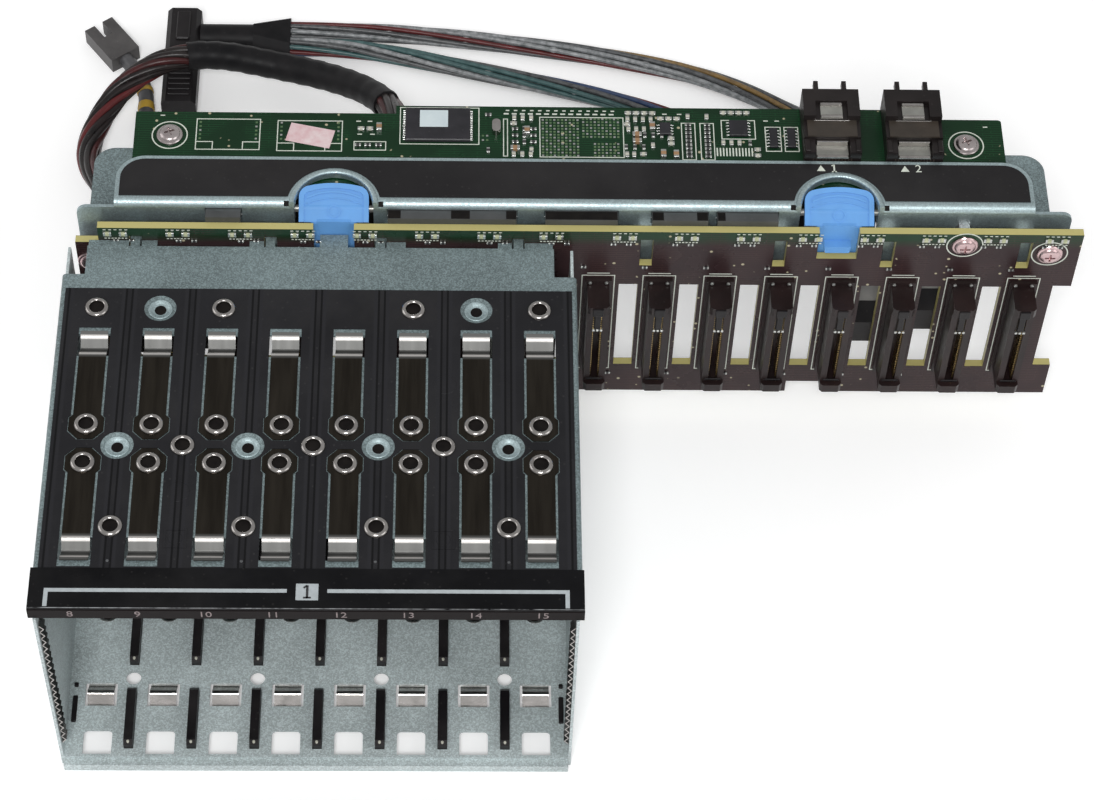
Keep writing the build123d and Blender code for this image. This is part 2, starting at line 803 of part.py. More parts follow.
def expander_tray():
    """The tray under the shelf, with a front flange and ears under the screws."""
    top = area(tray_left, tray_right, bracket_back, tray_rear)
    top = fillet(top.vertices().group_by(Axis.Y)[-1], tray_corner)
    top += area(tray_left + tray_ear_inset, tray_right - tray_ear_inset, tray_rear, tray_rear + tray_ear_depth)
    tray = flat(top, tray_under, tray_sheet)
    tray += block(tray_left, tray_right, bracket_back, bracket_back + tray_sheet, tray_top - tray_flange, tray_top)
    for x in latch_places:
        tray -= block(x - tray_latch_half, x + tray_latch_half, bracket_back, bracket_back + tray_latch_depth,
                      tray_top - tray_flange, tray_top)
    for x0, x1 in window_places:
        tray -= block(x0, x1, bracket_back, bracket_back + tray_sheet, shelf_under - window_drop, tray_under)
    return tray - [Pos(x, y, tray_under) * Cylinder(screw_shank + screw_fit, 2 * tray_sheet)
                   for x, y in expander_screw_places]


def expander_board():
    """The expander board, a little deeper behind the memory chip and the first port."""
    rear = expander_y + expander_depth
    outline = area(expander_left, expander_right, expander_y, rear)
    outline += area(expander_step_x, expander_right, rear, rear + expander_step)
    outline -= area(port_x + port_pitch, expander_right, rear + expander_step - expander_rear_cut,
                    rear + expander_step)
    outline = fillet(outline.vertices().group_by(Axis.X)[-1], expander_corner)
    outline -= [Pos(x, y) * Circle(screw_shank + screw_fit) for x, y in expander_screw_places]
    return flat(outline, expander_under, expander_thickness)


def expander_spacers():
    """Spacers between the tray and the expander board."""
    ring = Circle(spacer_radius) - Circle(screw_shank + screw_fit)
    return [flat(Pos(x, y) * ring, tray_top, spacer) for x, y in expander_screw_places]


def expander_screws():
    """Screws through the expander board into the tray."""
    screw = washer_screw(expander_thickness + spacer + tray_sheet)
    return [Pos(x, y, expander_top) * screw for x, y in expander_screw_places]


def memory_chip():
    """The flat chip on the expander board."""
    chip = flat(Pos(chip_x, expander_y + chip_back) * Rectangle(chip_length, chip_width), expander_top, chip_height)
    return chamfer(chip.edges().group_by(Axis.Z)[-1], chip_height / 4)


def crystal_can():
    """An oval metal can on the expander board."""
    can = Rot(0, 0, 90) * SlotOverall(crystal_length, crystal_width)
    return flat(Pos(crystal_x, expander_y + crystal_back) * can, expander_top, crystal_height)


def port_profile():
    """The stepped side of a port."""
    low = expander_top
    front = port_front
    middle = front + port_low_length
    back = front + port_rear_start
    end = front + port_length
    return polygon((front, low), (front, low + port_low), (middle, low + port_low), (middle, low + port_middle),
                   (back, low + port_middle), (back, low + port_height), (end, low + port_height), (end, low))


def port_housing(x):
    """One port: stepped body, rear socket, front clip slot, leaf recess and two prongs."""
    half = port_width / 2
    end = port_front + port_length
    top = expander_top + port_height
    body = across(port_profile(), x - half, port_width)
    body -= block(x - socket_width / 2, x + socket_width / 2, end - socket_depth, end,
                  expander_top + socket_floor, expander_top + socket_floor + socket_height)
    body -= block(x - port_front_slot / 2, x + port_front_slot / 2, port_front, port_front + port_low_length,
                  expander_top + port_low / 2, expander_top + port_low)
    recess = leaf_width / 2 + leaf_recess
    start = port_front + port_rear_start
    body -= block(x - recess, x + recess, start, start + leaf_length, top - leaf_recess, top)
    for side in (-1, 1):
        middle = x + side * prong_offset
        body += block(middle - prong_width / 2, middle + prong_width / 2, end, end + prong_length,
                      top - prong_height, top)
    return body


def port_cover_plate(x):
    """The thin plate on the middle step of a port."""
    half = port_width / 2 - port_cover_inset
    start = port_front + port_low_length
    end = port_front + port_rear_start
    low = expander_top + port_middle
    return block(x - half, x + half, start, end, low, low + port_cover)


def port_clips(x):
    """The front clip and the rear leaf of a port."""
    half = clip_width / 2
    low = expander_top + port_low / 2
    front = block(x - half, x + half, port_front, port_front + port_low_length, low, low + leaf_sheet)
    half = leaf_width / 2
    start = port_front + port_rear_start
    low = expander_top + port_height - leaf_recess
    rear = block(x - half, x + half, start, start + leaf_length, low, low + leaf_sheet)
    return [front, rear]


def port_places():
    """The middle of each port."""
    return [port_x + i * port_pitch for i in range(port_count)]


def bridge_connectors():
    """Connectors on the back of the backplane that show through the bracket's windows."""
    low = shelf_under - window_drop
    return [block(x0 + bridge_gap, x1 - bridge_gap, board_back, bracket_back - bridge_gap, low + bridge_gap,
                  low + window_height - bridge_gap) for x0, x1 in window_places]


def rear_headers():
    """Cable headers on the back of the backplane."""
    return [upright(Pos(x, z) * Rectangle(header_length, header_height), board_back, header_depth)
            for x, z in header_places.values()]


def header_plugs():
    """Cable plugs in the headers."""
    face = Rectangle(header_length - 2 * plug_inset, header_height - 2 * plug_inset)
    return [upright(Pos(x, z) * face, board_back + header_depth, plug_depth) for x, z in header_places.values()]


def plug_exit(name):
    """Where a cable leaves its header plug, as a point of its route."""
    x, z = header_places[name]
    return (x, 0, z)


def behind(point):
    """A cable's point, moved from the face of the header plugs to its place."""
    x, y, z = point
    return (x, plug_face + y, z)


def cable(name, radius, points):
    """A round cable along straight runs joined by wide arcs."""
    points = [behind(point) for point in points]
    path = [Vector(*point) for point in points]
    radii = []
    for before, here, after in zip(path, path[1:], path[2:]):
        turn = math.radians((here - before).get_angle(after - here))
        shorter = min((here - before).length, (after - here).length)
        radii.append(bend_share * shorter / math.tan(turn / 2))
    line = FilletPolyline(*points, radius=radii)
    section = Plane(origin=points[0], z_dir=path[1] - path[0]) * RegularPolygon(radius, cable_sides)
    tube = sweep(section, path=line)
    share = tube.volume / (section.area * line.length)
    print(name, "length", round(line.length), "radii", [round(r) for r in radii], "volume share", round(share, 4))
    return tube


def signal_boot():
    """The boot that gathers both signal cables into one sleeve."""
    x, y, z = boot_face()
    wide = chamfer(Rectangle(boot_width, boot_height).vertices(), boot_corner)
    narrow = chamfer(Rectangle(2 * sleeve_radius, 2 * sleeve_radius).vertices(), boot_corner)
    face = Plane(origin=(x, y, z), x_dir=(0, 1, 0), z_dir=(-1, 0, 0))
    return loft([face * wide, face.offset(boot_length) * narrow])


def boot_face():
    """The middle of the boot's wide end, between the two signal cables."""
    x, rear, z = signal_rear_end
    return behind((x, (rear + signal_front_end[1]) / 2, z))


def signal_sleeve():
    """The sleeve from the boot to the right-angle plug."""
    x, y, z = boot_face()
    return rod(sleeve_radius, (x - boot_length, y, z), (x - sleeve_end, y, z))


def angle_plug():
    """The right-angle plug that the signal sleeve enters from its side."""
    x, y, z = boot_face()
    middle = y - angle_plug_length / 2 + angle_plug_lead
    plug = Pos(x - sleeve_end - angle_plug_width / 2, middle) * Rectangle(angle_plug_width, angle_plug_length)
    solid = flat(plug, z - angle_plug_height / 2, angle_plug_height)
    return chamfer(solid.edges().filter_by(Axis.Y), angle_plug_round)


def flat_plug():
    """The flat plug of the grey cable, with a forked front."""
    middle = flat_plug_length / 2
    fork = Pos(0, flat_plug_length - flat_plug_prong / 2) * Rectangle(flat_plug_gap, flat_plug_prong)
    plate = Pos(0, middle) * Rectangle(flat_plug_width, flat_plug_length) - fork
    solid = extrude(plate, flat_plug_height / 2, both=True)
    along = Vector(*grey_end) - Vector(*grey_route[-1])
    turn = math.degrees(math.atan2(-along.X, along.Y))
    return Pos(*behind(grey_end)) * Rot(0, 0, turn) * solid


os.makedirs("parts", exist_ok=True)
front_springs, rear_springs = spring_places()
spring = leaf_spring()
spring_rivet = hollow_rivet(spring_sheet)
plain_rivet = hollow_rivet(film_sheet)

save("cage_floor", cage_floor())
save("side_wall_left", side_wall(-1))
save("side_wall_right", side_wall(1))
save("top_cover", top_cover())
save("cover_film", cover_film())
save("front_band", front_band())
save("cover_springs_front", on_cover(spring, front_springs))
save("cover_springs_rear", on_cover(spring, rear_springs))
save("floor_springs", under_floor(spring, front_springs))
save("spring_rivets", on_cover(spring_rivet, front_springs + rear_springs))
save("cover_rivets", [Pos(x, y, cover_top) * plain_rivet for x, y in plain_rivet_places()])
save("lower_rails", [lower_rail(i, span) for i in range(cage_bays - 1) for span in rail_spans()])
save("upper_rails", [upper_rail(i, span) for i in range(cage_bays - 1) for span in upper_rail_spans()])
save("gasket_strip_left", gasket_strip(-1))
save("gasket_strip_right", gasket_strip(1))
save("backplane_board", backplane_board())
connector = drive_connector()
save("drive_connectors", [Pos(slot_x(i), 0, connector_height()) * connector for i in range(board_slots)])
save("connector_contacts", connector_contacts())
save("slot_lights", slot_lights())
save("board_screws", board_screws())
save("board_standoffs", board_standoffs())
save("rear_bracket", rear_bracket())
save("shelf_film", shelf_film())
for side, x in zip(("left", "right"), latch_places):
    save(f"release_latch_{side}", release_latch(x))
    save(f"pivot_pin_{side}", pivot_pin(x))
save("expander_tray", expander_tray())
save("expander_board", expander_board())
save("expander_spacers", expander_spacers())
save("expander_screws", expander_screws())
save("memory_chip", memory_chip())
save("crystal_can", crystal_can())
save("port_housings", [port_housing(x) for x in port_places()])
save("port_covers", [port_cover_plate(x) for x in port_places()])
save("port_clips", [clip for x in port_places() for clip in port_clips(x)])
save("bridge_connectors", bridge_connectors())
save("rear_headers", rear_headers())
save("header_plugs", header_plugs())
save("power_cable", cable("power_cable", power_radius,
                          (plug_exit("power_right"), *power_route, plug_exit("power_left"))))
save("signal_cable_rear", cable("signal_cable_rear", signal_radius,
                                (plug_exit("signal_rear"), *signal_rear_route, signal_rear_end)))
save("signal_cable_front", cable("signal_cable_front", signal_radius,
                                 (plug_exit("signal_front"), *signal_front_route, signal_front_end)))
save("signal_boot", signal_boot())
save("signal_sleeve", signal_sleeve())
save("grey_cable", cable("grey_cable", grey_radius, (plug_exit("grey"), *grey_route, grey_end)))
save("angle_plug", angle_plug())
save("flat_plug", flat_plug())
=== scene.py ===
import math

import bpy
from bpy.props import FloatProperty, FloatVectorProperty, PointerProperty
from mathutils import Matrix, Vector


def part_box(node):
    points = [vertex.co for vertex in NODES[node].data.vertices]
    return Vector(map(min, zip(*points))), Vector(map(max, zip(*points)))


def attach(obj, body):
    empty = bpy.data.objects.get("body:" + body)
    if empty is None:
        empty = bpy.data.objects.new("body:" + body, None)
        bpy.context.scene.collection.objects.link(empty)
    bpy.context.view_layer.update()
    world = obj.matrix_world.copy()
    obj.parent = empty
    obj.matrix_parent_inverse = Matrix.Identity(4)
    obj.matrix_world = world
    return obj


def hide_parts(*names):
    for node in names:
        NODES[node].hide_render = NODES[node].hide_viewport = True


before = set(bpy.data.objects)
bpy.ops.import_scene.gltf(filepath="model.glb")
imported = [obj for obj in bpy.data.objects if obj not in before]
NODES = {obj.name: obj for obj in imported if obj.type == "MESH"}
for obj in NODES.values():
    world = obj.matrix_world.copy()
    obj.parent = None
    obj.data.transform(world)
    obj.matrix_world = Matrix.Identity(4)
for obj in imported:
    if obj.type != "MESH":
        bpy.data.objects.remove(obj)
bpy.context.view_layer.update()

bl_info = {
    "name": "Hot Swap Drive Cage",
    "version": (1, 0, 0),
    "blender": (4, 5, 0),
    "location": "View3D > Sidebar > Drive Cage",
    "description": "Dresses the packed drive cage with finishes, prints, board parts and cables",
    "category": "Object",
}

MM = 0.001
ROOT = "cage"

# Places that the solids give, in millimetres
PITCH = 17.3
BAYS = 8
SLOTS = 16
FIRST_SLOT = -60.55
FIRST_NUMBER = 8
FLOOR_TOP = 4.0
COVER_TOP = 79.3
FILM_TOP = 79.5
BAND_TOP = 79.9
BAND_FRONT = 0.5
BAND_EDGE = 1.1
BOARD_FRONT = 121.5
BOARD_BACK = 123.86
LIGHT_HEIGHT = 82.2
SHELF_TOP = 89.2
EXPANDER_UNDER = 85.4
EXPANDER_TOP = 87.0
CHIP_TOP = 88.1
PLUG_FACE = 143.86
STEM_FRONT = 124.21
EAR_BACK = 133.96
BRIDGE_TOP = 86.7
BRIDGE_GAPS = ((18.6, 22.1), (36.1, 41.3), (51.4, 54.2), (62.4, 82.4), (92.2, 95.3), (104.6, 107.6),
               (110.4, 112.5))
RAIL_TOP = 6.6
RAIL_PIPS = (3.35, 29.95)
SPRING_ROWS = (46.2, 58.6)
REAR_ROW = 97.6
MIDDLE_ROW = 51.9
FRONT_ROW = 26.2
ODD_GAPS = (0.5, 2.5, 4.5, 6.5)
BOARD_SCREWS = ((-64.8, 70.0), (180.0, 79.8), (204.4, 76.2))
EXPANDER_SCREWS = ((-43.5, 153.26), (182.1, 151.96))
LATCHES = {"left": 3.5, "right": 144.5}
PORTS = (143.4, 166.6)

# Thickness of print, in millimetres
PRINT = 0.05
# Edges that bend less than this are shaded smooth
SMOOTH = math.radians(35)

# The studio: name, place, size and power of each light
FLOOR_SIZE = 6.0
LIGHTS = (("key_light", (-0.05, -0.92, 1.32), 0.4, 14.0), ("fill_light", (1.3, -0.6, 0.9), 0.9, 4.0),
          ("side_light", (-1.3, 0.3, 0.8), 0.9, 3.0))
LIGHT_AIM = Vector((0.05, 0.1, 0.04))
WORLD_STRENGTH = 0.5
WHITE = (1.0, 1.0, 1.0, 1.0)

# The camera, fitted to the photo: angles down, aside and of roll, and the focal length in pixels
CAMERA_PLACE = (0.03975, -0.41563, 0.755)
CAMERA_ANGLES = (54.398, 2.675, 2.535)
FOCAL_PIXELS = 3087.93
PHOTO_WIDTH = 1094.0
SENSOR = 36.0


def slot_x(index):
    """The middle of a bay or board slot."""
    return FIRST_SLOT + index * PITCH


def metres(*point):
    """A point in millimetres as a vector in metres."""
    return Vector(point) * MM


class CageColours(bpy.types.PropertyGroup):
    """Colours of the finishes."""

    zinc: FloatVectorProperty(
        name="Zinc", description="Plated sheet metal", subtype="COLOR", default=(0.165, 0.212, 0.219))
    film: FloatVectorProperty(
        name="Film", description="Black film on the cover, and the front band", subtype="COLOR",
        default=(0.007, 0.007, 0.008))
    # Nickel colour: the lighter tone over the dip near each spring tip.
    nickel: FloatVectorProperty(
        name="Nickel", description="Worn dips of the springs", subtype="COLOR", default=(0.15, 0.15, 0.145))
    backplane: FloatVectorProperty(
        name="Backplane", description="Dark brown lacquer of the backplane", subtype="COLOR",
        default=(0.022, 0.011, 0.012))
    expander: FloatVectorProperty(
        name="Expander", description="Green lacquer of the expander board", subtype="COLOR",
        default=(0.0035, 0.021, 0.0075))
    latch: FloatVectorProperty(
        name="Latch", description="Blue release latches", subtype="COLOR", default=(0.120, 0.310, 0.640))
    print_ink: FloatVectorProperty(
        name="Print", description="Pale print on the film", subtype="COLOR", default=(0.42, 0.46, 0.48))
    silk: FloatVectorProperty(
        name="Silk", description="White print on the boards", subtype="COLOR", default=(0.66, 0.70, 0.62))


class CageSizes(bpy.types.PropertyGroup):
    """Sizes of the details."""

    print_line: FloatProperty(
        name="Print line", description="Width of the line on the front band", unit="LENGTH",
        default=1.1 * MM)
    print_height: FloatProperty(
        name="Print height", description="Thickness of the printed numbers", unit="LENGTH",
        default=PRINT * MM)
    silk_line: FloatProperty(
        name="Silk line", description="Width of the lines on the boards", unit="LENGTH", default=0.28 * MM)
    number_size: FloatProperty(
        name="Numbers", description="Height of the bay numbers", unit="LENGTH", default=3.6 * MM)
    wire_radius: FloatProperty(
        name="Wire", description="Radius of one signal wire", unit="LENGTH", default=0.8 * MM)


def colours():
    """The colours that the panel shows."""
    return bpy.context.scene.cage_colours


def sizes():
    """The sizes that the panel shows."""
    return bpy.context.scene.cage_sizes


def feed(sockets, values):
    """Links each named input to an output, or sets it to a value."""
    for key, value in values.items():
        if isinstance(value, bpy.types.NodeSocket):
            sockets[key].id_data.links.new(value, sockets[key])
        else:
            sockets[key].default_value = value


def node(tree, kind, inputs=None, **settings):
    """The outputs of a new shader node with its settings and inputs."""
    made = tree.nodes.new("ShaderNode" + kind)
    for key, value in settings.items():
        setattr(made, key, value)
    feed(made.inputs, inputs or {})
    return made.outputs


def place_of(tree):
    """The place on the object."""
    return node(tree, "TexCoord")["Object"]


def axes_of(tree):
    """The three parts of the place on the object."""
    return node(tree, "SeparateXYZ", {"Vector": place_of(tree)})


def calc(tree, operation, *values):
    """The result of a sum."""
    return node(tree, "Math", dict(enumerate(values)), operation=operation)["Value"]


def spread(tree, value, low, high, to_low=0.0, to_high=1.0):
    """A value taken from one range to another."""
    return node(tree, "MapRange", {"Value": value, "From Min": low, "From Max": high, "To Min": to_low,
                                   "To Max": to_high})["Result"]


def noise(tree, place, scale, detail, roughness=0.5):
    """Cloudy noise at a place."""
    return node(tree, "TexNoise", {"Vector": place, "Scale": scale, "Detail": detail,
                                   "Roughness": roughness})["Fac"]


def mixed(tree, factor, one, two):
    """Two colours mixed by a factor."""
    return node(tree, "Mix", {"Factor": factor, "A": one, "B": two}, data_type="RGBA")["Result"]


def rgba(colour):
    """A colour with its alpha."""
    return (*colour[:3], 1.0)


def distance(tree, value, middle):
    """How far a value is from a middle, which is given in millimetres."""
    return calc(tree, "ABSOLUTE", calc(tree, "SUBTRACT", value, middle * MM))


def band_of(tree, value, middle, half, soft):
    """A mask that is 1 where a value is near a middle, and fades to 0 outside, in millimetres."""
    return spread(tree, distance(tree, value, middle), (half + soft) * MM, half * MM)


def new_group(name, inputs, outputs):
    """An empty shader node group: its tree, what it is given and what it gives."""
    tree = bpy.data.node_groups.new(name, "ShaderNodeTree")
    kinds = {1: "NodeSocketFloat", 3: "NodeSocketVector", 4: "NodeSocketColor"}
    for label, default in inputs.items():
        kind = kinds[len(default) if isinstance(default, tuple) else 1]
        tree.interface.new_socket(label, in_out="INPUT", socket_type=kind).default_value = default
    for label in outputs:
        kind = kinds[4 if label == "Colour" else 1]
        tree.interface.new_socket(label, in_out="OUTPUT", socket_type=kind)
    return tree, tree.nodes.new("NodeGroupInput").outputs, tree.nodes.new("NodeGroupOutput").inputs


def speckle_group():
    """Plated sheet: fine crystals, cloudy patches and a grainy height."""
    tree, given, gives = new_group("plated_speckle", {"Colour": WHITE, "Light": WHITE, "Scale": 900.0},
                                   ("Colour", "Roughness", "Height"))
    place = place_of(tree)
    cells = node(tree, "TexVoronoi", {"Vector": place, "Scale": given["Scale"], "Randomness": 1.0})
    crystals = node(tree, "SeparateColor", {"Color": cells["Color"]})
    sharp = calc(tree, "MULTIPLY", spread(tree, crystals["Red"], 0.25, 0.95), 0.55)
    patch = spread(tree, noise(tree, place, 35.0, 4.0), 0.3, 0.7, 0.0, 0.35)
    share = calc(tree, "ADD", sharp, patch)
    feed(gives, {"Colour": mixed(tree, share, given["Colour"], given["Light"]),
                 "Roughness": spread(tree, crystals["Green"], 0.0, 1.0, 0.36, 0.58),
                 "Height": noise(tree, place, 2600.0, 2.0)})
    return tree


def grain_group():
    """Moulded or lacquered surface: two close tones, a change of gloss and a fine grain."""
    tree, given, gives = new_group(
        "fine_grain", {"Colour": WHITE, "Second": WHITE, "Scale": 60.0, "Gloss low": 0.3, "Gloss high": 0.5},
        ("Colour", "Roughness", "Height"))
    place = place_of(tree)
    cloud = noise(tree, place, given["Scale"], 5.0, 0.6)
    share = spread(tree, cloud, 0.32, 0.68)
    feed(gives, {"Colour": mixed(tree, share, given["Colour"], given["Second"]),
                 "Roughness": spread(tree, cloud, 0.3, 0.7, given["Gloss low"], given["Gloss high"]),
                 "Height": noise(tree, place, 1800.0, 2.0)})
    return tree


def dust_group():
    """Pale specks and a thin haze of dust over a colour."""
    tree, given, gives = new_group(
        "settled_dust", {"Colour": WHITE, "Dust": (0.4, 0.38, 0.36, 1.0), "Amount": 0.1}, ("Colour",))
    place = place_of(tree)
    specks = node(tree, "TexVoronoi", {"Vector": place, "Scale": 420.0})["Distance"]
    haze = noise(tree, place, 22.0, 6.0, 0.65)
    most = calc(tree, "MAXIMUM", spread(tree, specks, 0.16, 0.08), spread(tree, haze, 0.45, 0.8))
    share = calc(tree, "MULTIPLY", most, given["Amount"])
    feed(gives, {"Colour": mixed(tree, share, given["Colour"], given["Dust"])})
    return tree


def trace_group():
    """Copper lines and small pads under the lacquer of a board, on a plane of two coordinates."""
    tree, given, gives = new_group(
        "board_traces",
        {"Plane": (0.0, 0.0, 0.0), "Colour": WHITE, "Trace": WHITE, "Pad": WHITE, "Amount": 0.6},
        ("Colour", "Height"))
    plane = given["Plane"]
    lines = node(tree, "TexBrick", {"Vector": plane, "Scale": 260.0, "Mortar Size": 0.035, "Mortar Smooth": 0.4,
                                    "Brick Width": 1.7, "Row Height": 0.22}, offset=0.37)["Fac"]
    region = spread(tree, noise(tree, plane, 70.0, 1.0), 0.46, 0.54)
    amount = calc(tree, "MULTIPLY", calc(tree, "MULTIPLY", lines, region), given["Amount"])
    dots = node(tree, "TexVoronoi", {"Vector": plane, "Scale": 330.0, "Randomness": 0.35})["Distance"]
    field = spread(tree, noise(tree, plane, 110.0, 0.0), 0.58, 0.6)
    pads = calc(tree, "MULTIPLY", spread(tree, dots, 0.17, 0.12), field)
    traced = mixed(tree, amount, given["Colour"], given["Trace"])
    feed(gives, {"Colour": mixed(tree, pads, traced, given["Pad"]), "Height": amount})
    return tree


GROUPS = {"plated_speckle": speckle_group, "fine_grain": grain_group, "settled_dust": dust_group,
          "board_traces": trace_group}


def use_group(tree, name, inputs):
    """The outputs of a shared node group, placed in a material with its own values."""
    shared = bpy.data.node_groups.get(name) or GROUPS[name]()
    return node(tree, "Group", inputs, node_tree=shared)


def grain(tree, colour, second, scale, gloss):
    """The outputs of the grain group."""
    return use_group(tree, "fine_grain", {"Colour": rgba(colour), "Second": rgba(second), "Scale": scale,
                                          "Gloss low": gloss[0], "Gloss high": gloss[1]})


def dusted(tree, colour, amount):
    """A colour under dust."""
    return use_group(tree, "settled_dust", {"Colour": colour, "Amount": amount})["Colour"]


def new_finish(name, **constants):
    """A new material and its main shader. Its name keeps apart from the materials of the solids."""
    made = bpy.data.materials.new("finish_" + name)
    made.use_nodes = True
    shader = made.node_tree.nodes["Principled BSDF"]
    labels = {key: key.replace("_", " ").title().replace("Ior", "IOR") for key in constants}
    feed(shader.inputs, {labels[key]: value for key, value in constants.items()})
    return made, made.node_tree, shader


def coat(shader, colour, roughness, height=None, strength=0.2, depth=0.05):
    """Leads a colour, a roughness and a fine relief, its depth in millimetres, to the main shader."""
    feed(shader.inputs, {"Base Color": colour, "Roughness": roughness})
    if height is not None:
        relief = node(shader.id_data, "Bump", {"Height": height, "Strength": strength, "Distance": depth * MM})
        feed(shader.inputs, {"Normal": relief["Normal"]})


def zinc_finish(name, share, metallic, contrast):
    """Zinc-plated sheet with a fine speckle."""
    made, tree, shader = new_finish(name, metallic=metallic)
    base = Vector([part * whole for part, whole in zip(share, colours().zinc)])
    speckle = use_group(tree, "plated_speckle", {"Colour": rgba(base * (1 - contrast)), "Scale": 3000.0,
                                                 "Light": rgba(base * (1 + 2 * contrast))})
    coat(shader, speckle["Colour"], speckle["Roughness"], speckle["Height"], 0.25, 0.04)
    return made


def grain_finish(name, colour, second, scale, gloss, dust=0.0, **constants):
    """A grained surface with an optional haze of dust."""
    made, tree, shader = new_finish(name, **constants)
    surface = grain(tree, colour, second, scale, gloss)
    tone = dusted(tree, surface["Colour"], dust) if dust else surface["Colour"]
    coat(shader, tone, surface["Roughness"], surface["Height"])
    return made


def film_finish():
    """Black film that shows the pressed rib pairs of the sheet below, with a haze of dust. The ribs have a
    relief, painted shade along their lines and a painted highlight along their outer edges.
    """
    made, tree, shader = new_finish("cover_film", specular_ior_level=0.16)
    base = Vector(colours().film)
    middle = FIRST_SLOT + PITCH / 2
    surface = grain(tree, base * 1.7, base * 2.5, 30.0, (0.2, 0.34))
    bay = calc(tree, "WRAP", axes_of(tree)["X"], FIRST_SLOT * MM, (FIRST_SLOT + PITCH) * MM)
    away = distance(tree, bay, middle)
    ribs = band_of(tree, bay, middle, 1.25, 0.5)
    tone = dusted(tree, surface["Colour"], 0.035)
    # Painted highlight beside each rib pair, and painted shade along its two lines.
    for share, place, half, soft in ((2.8, 1.6, 0.2, 0.5), (0.7, 0.8, 0.2, 0.15)):
        tone = mixed(tree, band_of(tree, away, place, half, soft), tone, rgba(base * share))
    height = calc(tree, "MULTIPLY_ADD", ribs, 3.0, surface["Height"])
    coat(shader, tone, surface["Roughness"], height, 0.35, 0.12)
    return made


def band_finish():
    """Black coated band: bare metal worn along its bend, and a dark warm painted reflection of a red mat on its
    lip.
    """
    made, tree, shader = new_finish("front_band", specular_ior_level=0.08)
    base = Vector(colours().film)
    axes = axes_of(tree)
    surface = grain(tree, base * 0.6, base * 1.2, 40.0, (0.24, 0.4))
    wear = spread(tree, noise(tree, place_of(tree), 420.0, 3.0), 0.3, 0.62)
    lip_red_reflection = band_of(tree, axes["Y"], 0.2, 0.4, 0.1)
    edge = band_of(tree, axes["Y"], BAND_EDGE, 0.07, 0.08)
    high = band_of(tree, axes["Z"], BAND_TOP, 0.2, 0.1)
    worn = calc(tree, "MULTIPLY", calc(tree, "MULTIPLY", edge, high), wear)
    # Painted reflection: the lip is darkened and tinted warm, as a mirror of a red mat.
    tone = mixed(tree, lip_red_reflection, dusted(tree, surface["Colour"], 0.03), (0.004, 0.0018, 0.002, 1.0))
    tone = mixed(tree, worn, tone, (0.30, 0.31, 0.32, 1.0))
    coat(shader, tone, surface["Roughness"], surface["Height"])
    return made


def contact_finish():
    """Separate gold contacts side by side along Z, with dark gaps between them."""
    made, tree, shader = new_finish("contact_gold", metallic=0.9)
    gold, pitch = Vector((0.60, 0.42, 0.17)), 0.9
    surface = grain(tree, gold, gold * 0.7, 400.0, (0.2, 0.35))
    contact = calc(tree, "WRAP", axes_of(tree)["Z"], 0.0, pitch * MM)
    gaps = band_of(tree, contact, pitch / 2, pitch * 0.16, pitch * 0.08)
    tone = mixed(tree, gaps, surface["Colour"], (0.02, 0.012, 0.010, 1.0))
    coat(shader, tone, surface["Roughness"], gaps, 0.4, 0.1)
    return made


def spring_finish():
    """Spring steel: a leaf painted near black as a dark reflection, a lighter dip near each tip, and painted
    highlight lines along the dip's crests.
    """
    made, tree, shader = new_finish("spring_leaf", metallic=1.0)
    away = distance(tree, axes_of(tree)["Y"], sum(SPRING_ROWS) / 2)
    stretched = node(tree, "Mapping", {"Vector": place_of(tree), "Scale": (500.0, 45.0, 45.0)})["Vector"]
    brushed = noise(tree, stretched, 1.0, 3.0)
    dip = band_of(tree, away, 32.9, 3.8, 0.8)
    # Painted reflection: the brushed leaf is painted near black, as a mirror of dark surroundings.
    tone = mixed(tree, brushed, (0.014, 0.012, 0.010, 1.0), (0.060, 0.052, 0.042, 1.0))
    # A lighter tone over the dip near each tip.
    tone = mixed(tree, dip, tone, rgba(colours().nickel))
    # Painted highlights: pale lines along the two crests of the dip.
    for crest, half in ((29.9, 0.45), (35.4, 0.3)):
        tone = mixed(tree, band_of(tree, away, crest, half, 0.3), tone, (0.62, 0.60, 0.58, 1.0))
    gloss = spread(tree, brushed, 0.0, 1.0, 0.2, 0.36)
    coat(shader, tone, calc(tree, "MULTIPLY_ADD", dip, 0.26, gloss))
    return made


def board_finish(name, colour, second, trace, edge, axis, span, top=None):
    """A lacquered board: traces and pads on its faces, bare laminate where its thickness shows."""
    made, tree, shader = new_finish(name, specular_ior_level=0.22)
    axes = axes_of(tree)
    surface = grain(tree, colour, second, 45.0, (0.22, 0.36))
    tone = surface["Colour"]
    if top:
        low, high, top_tone = top
        tone = mixed(tree, spread(tree, axes["Z"], low * MM, high * MM), tone, rgba(top_tone))
    plane = node(tree, "CombineXYZ", {"X": axes["X"], "Y": axes["Z" if axis == "Y" else "Y"]})["Vector"]
    traces = use_group(tree, "board_traces", {"Plane": plane, "Colour": tone, "Trace": rgba(trace),
                                              "Pad": (0.42, 0.38, 0.26, 1.0), "Amount": 0.75})
    half = (span[1] - span[0]) / 2
    inside = band_of(tree, axes[axis], sum(span) / 2, half * 0.93, half * 0.03)
    tone = mixed(tree, inside, traces["Colour"], rgba(edge))
    coat(shader, tone, surface["Roughness"], traces["Height"], 0.3, 0.04)
    return made


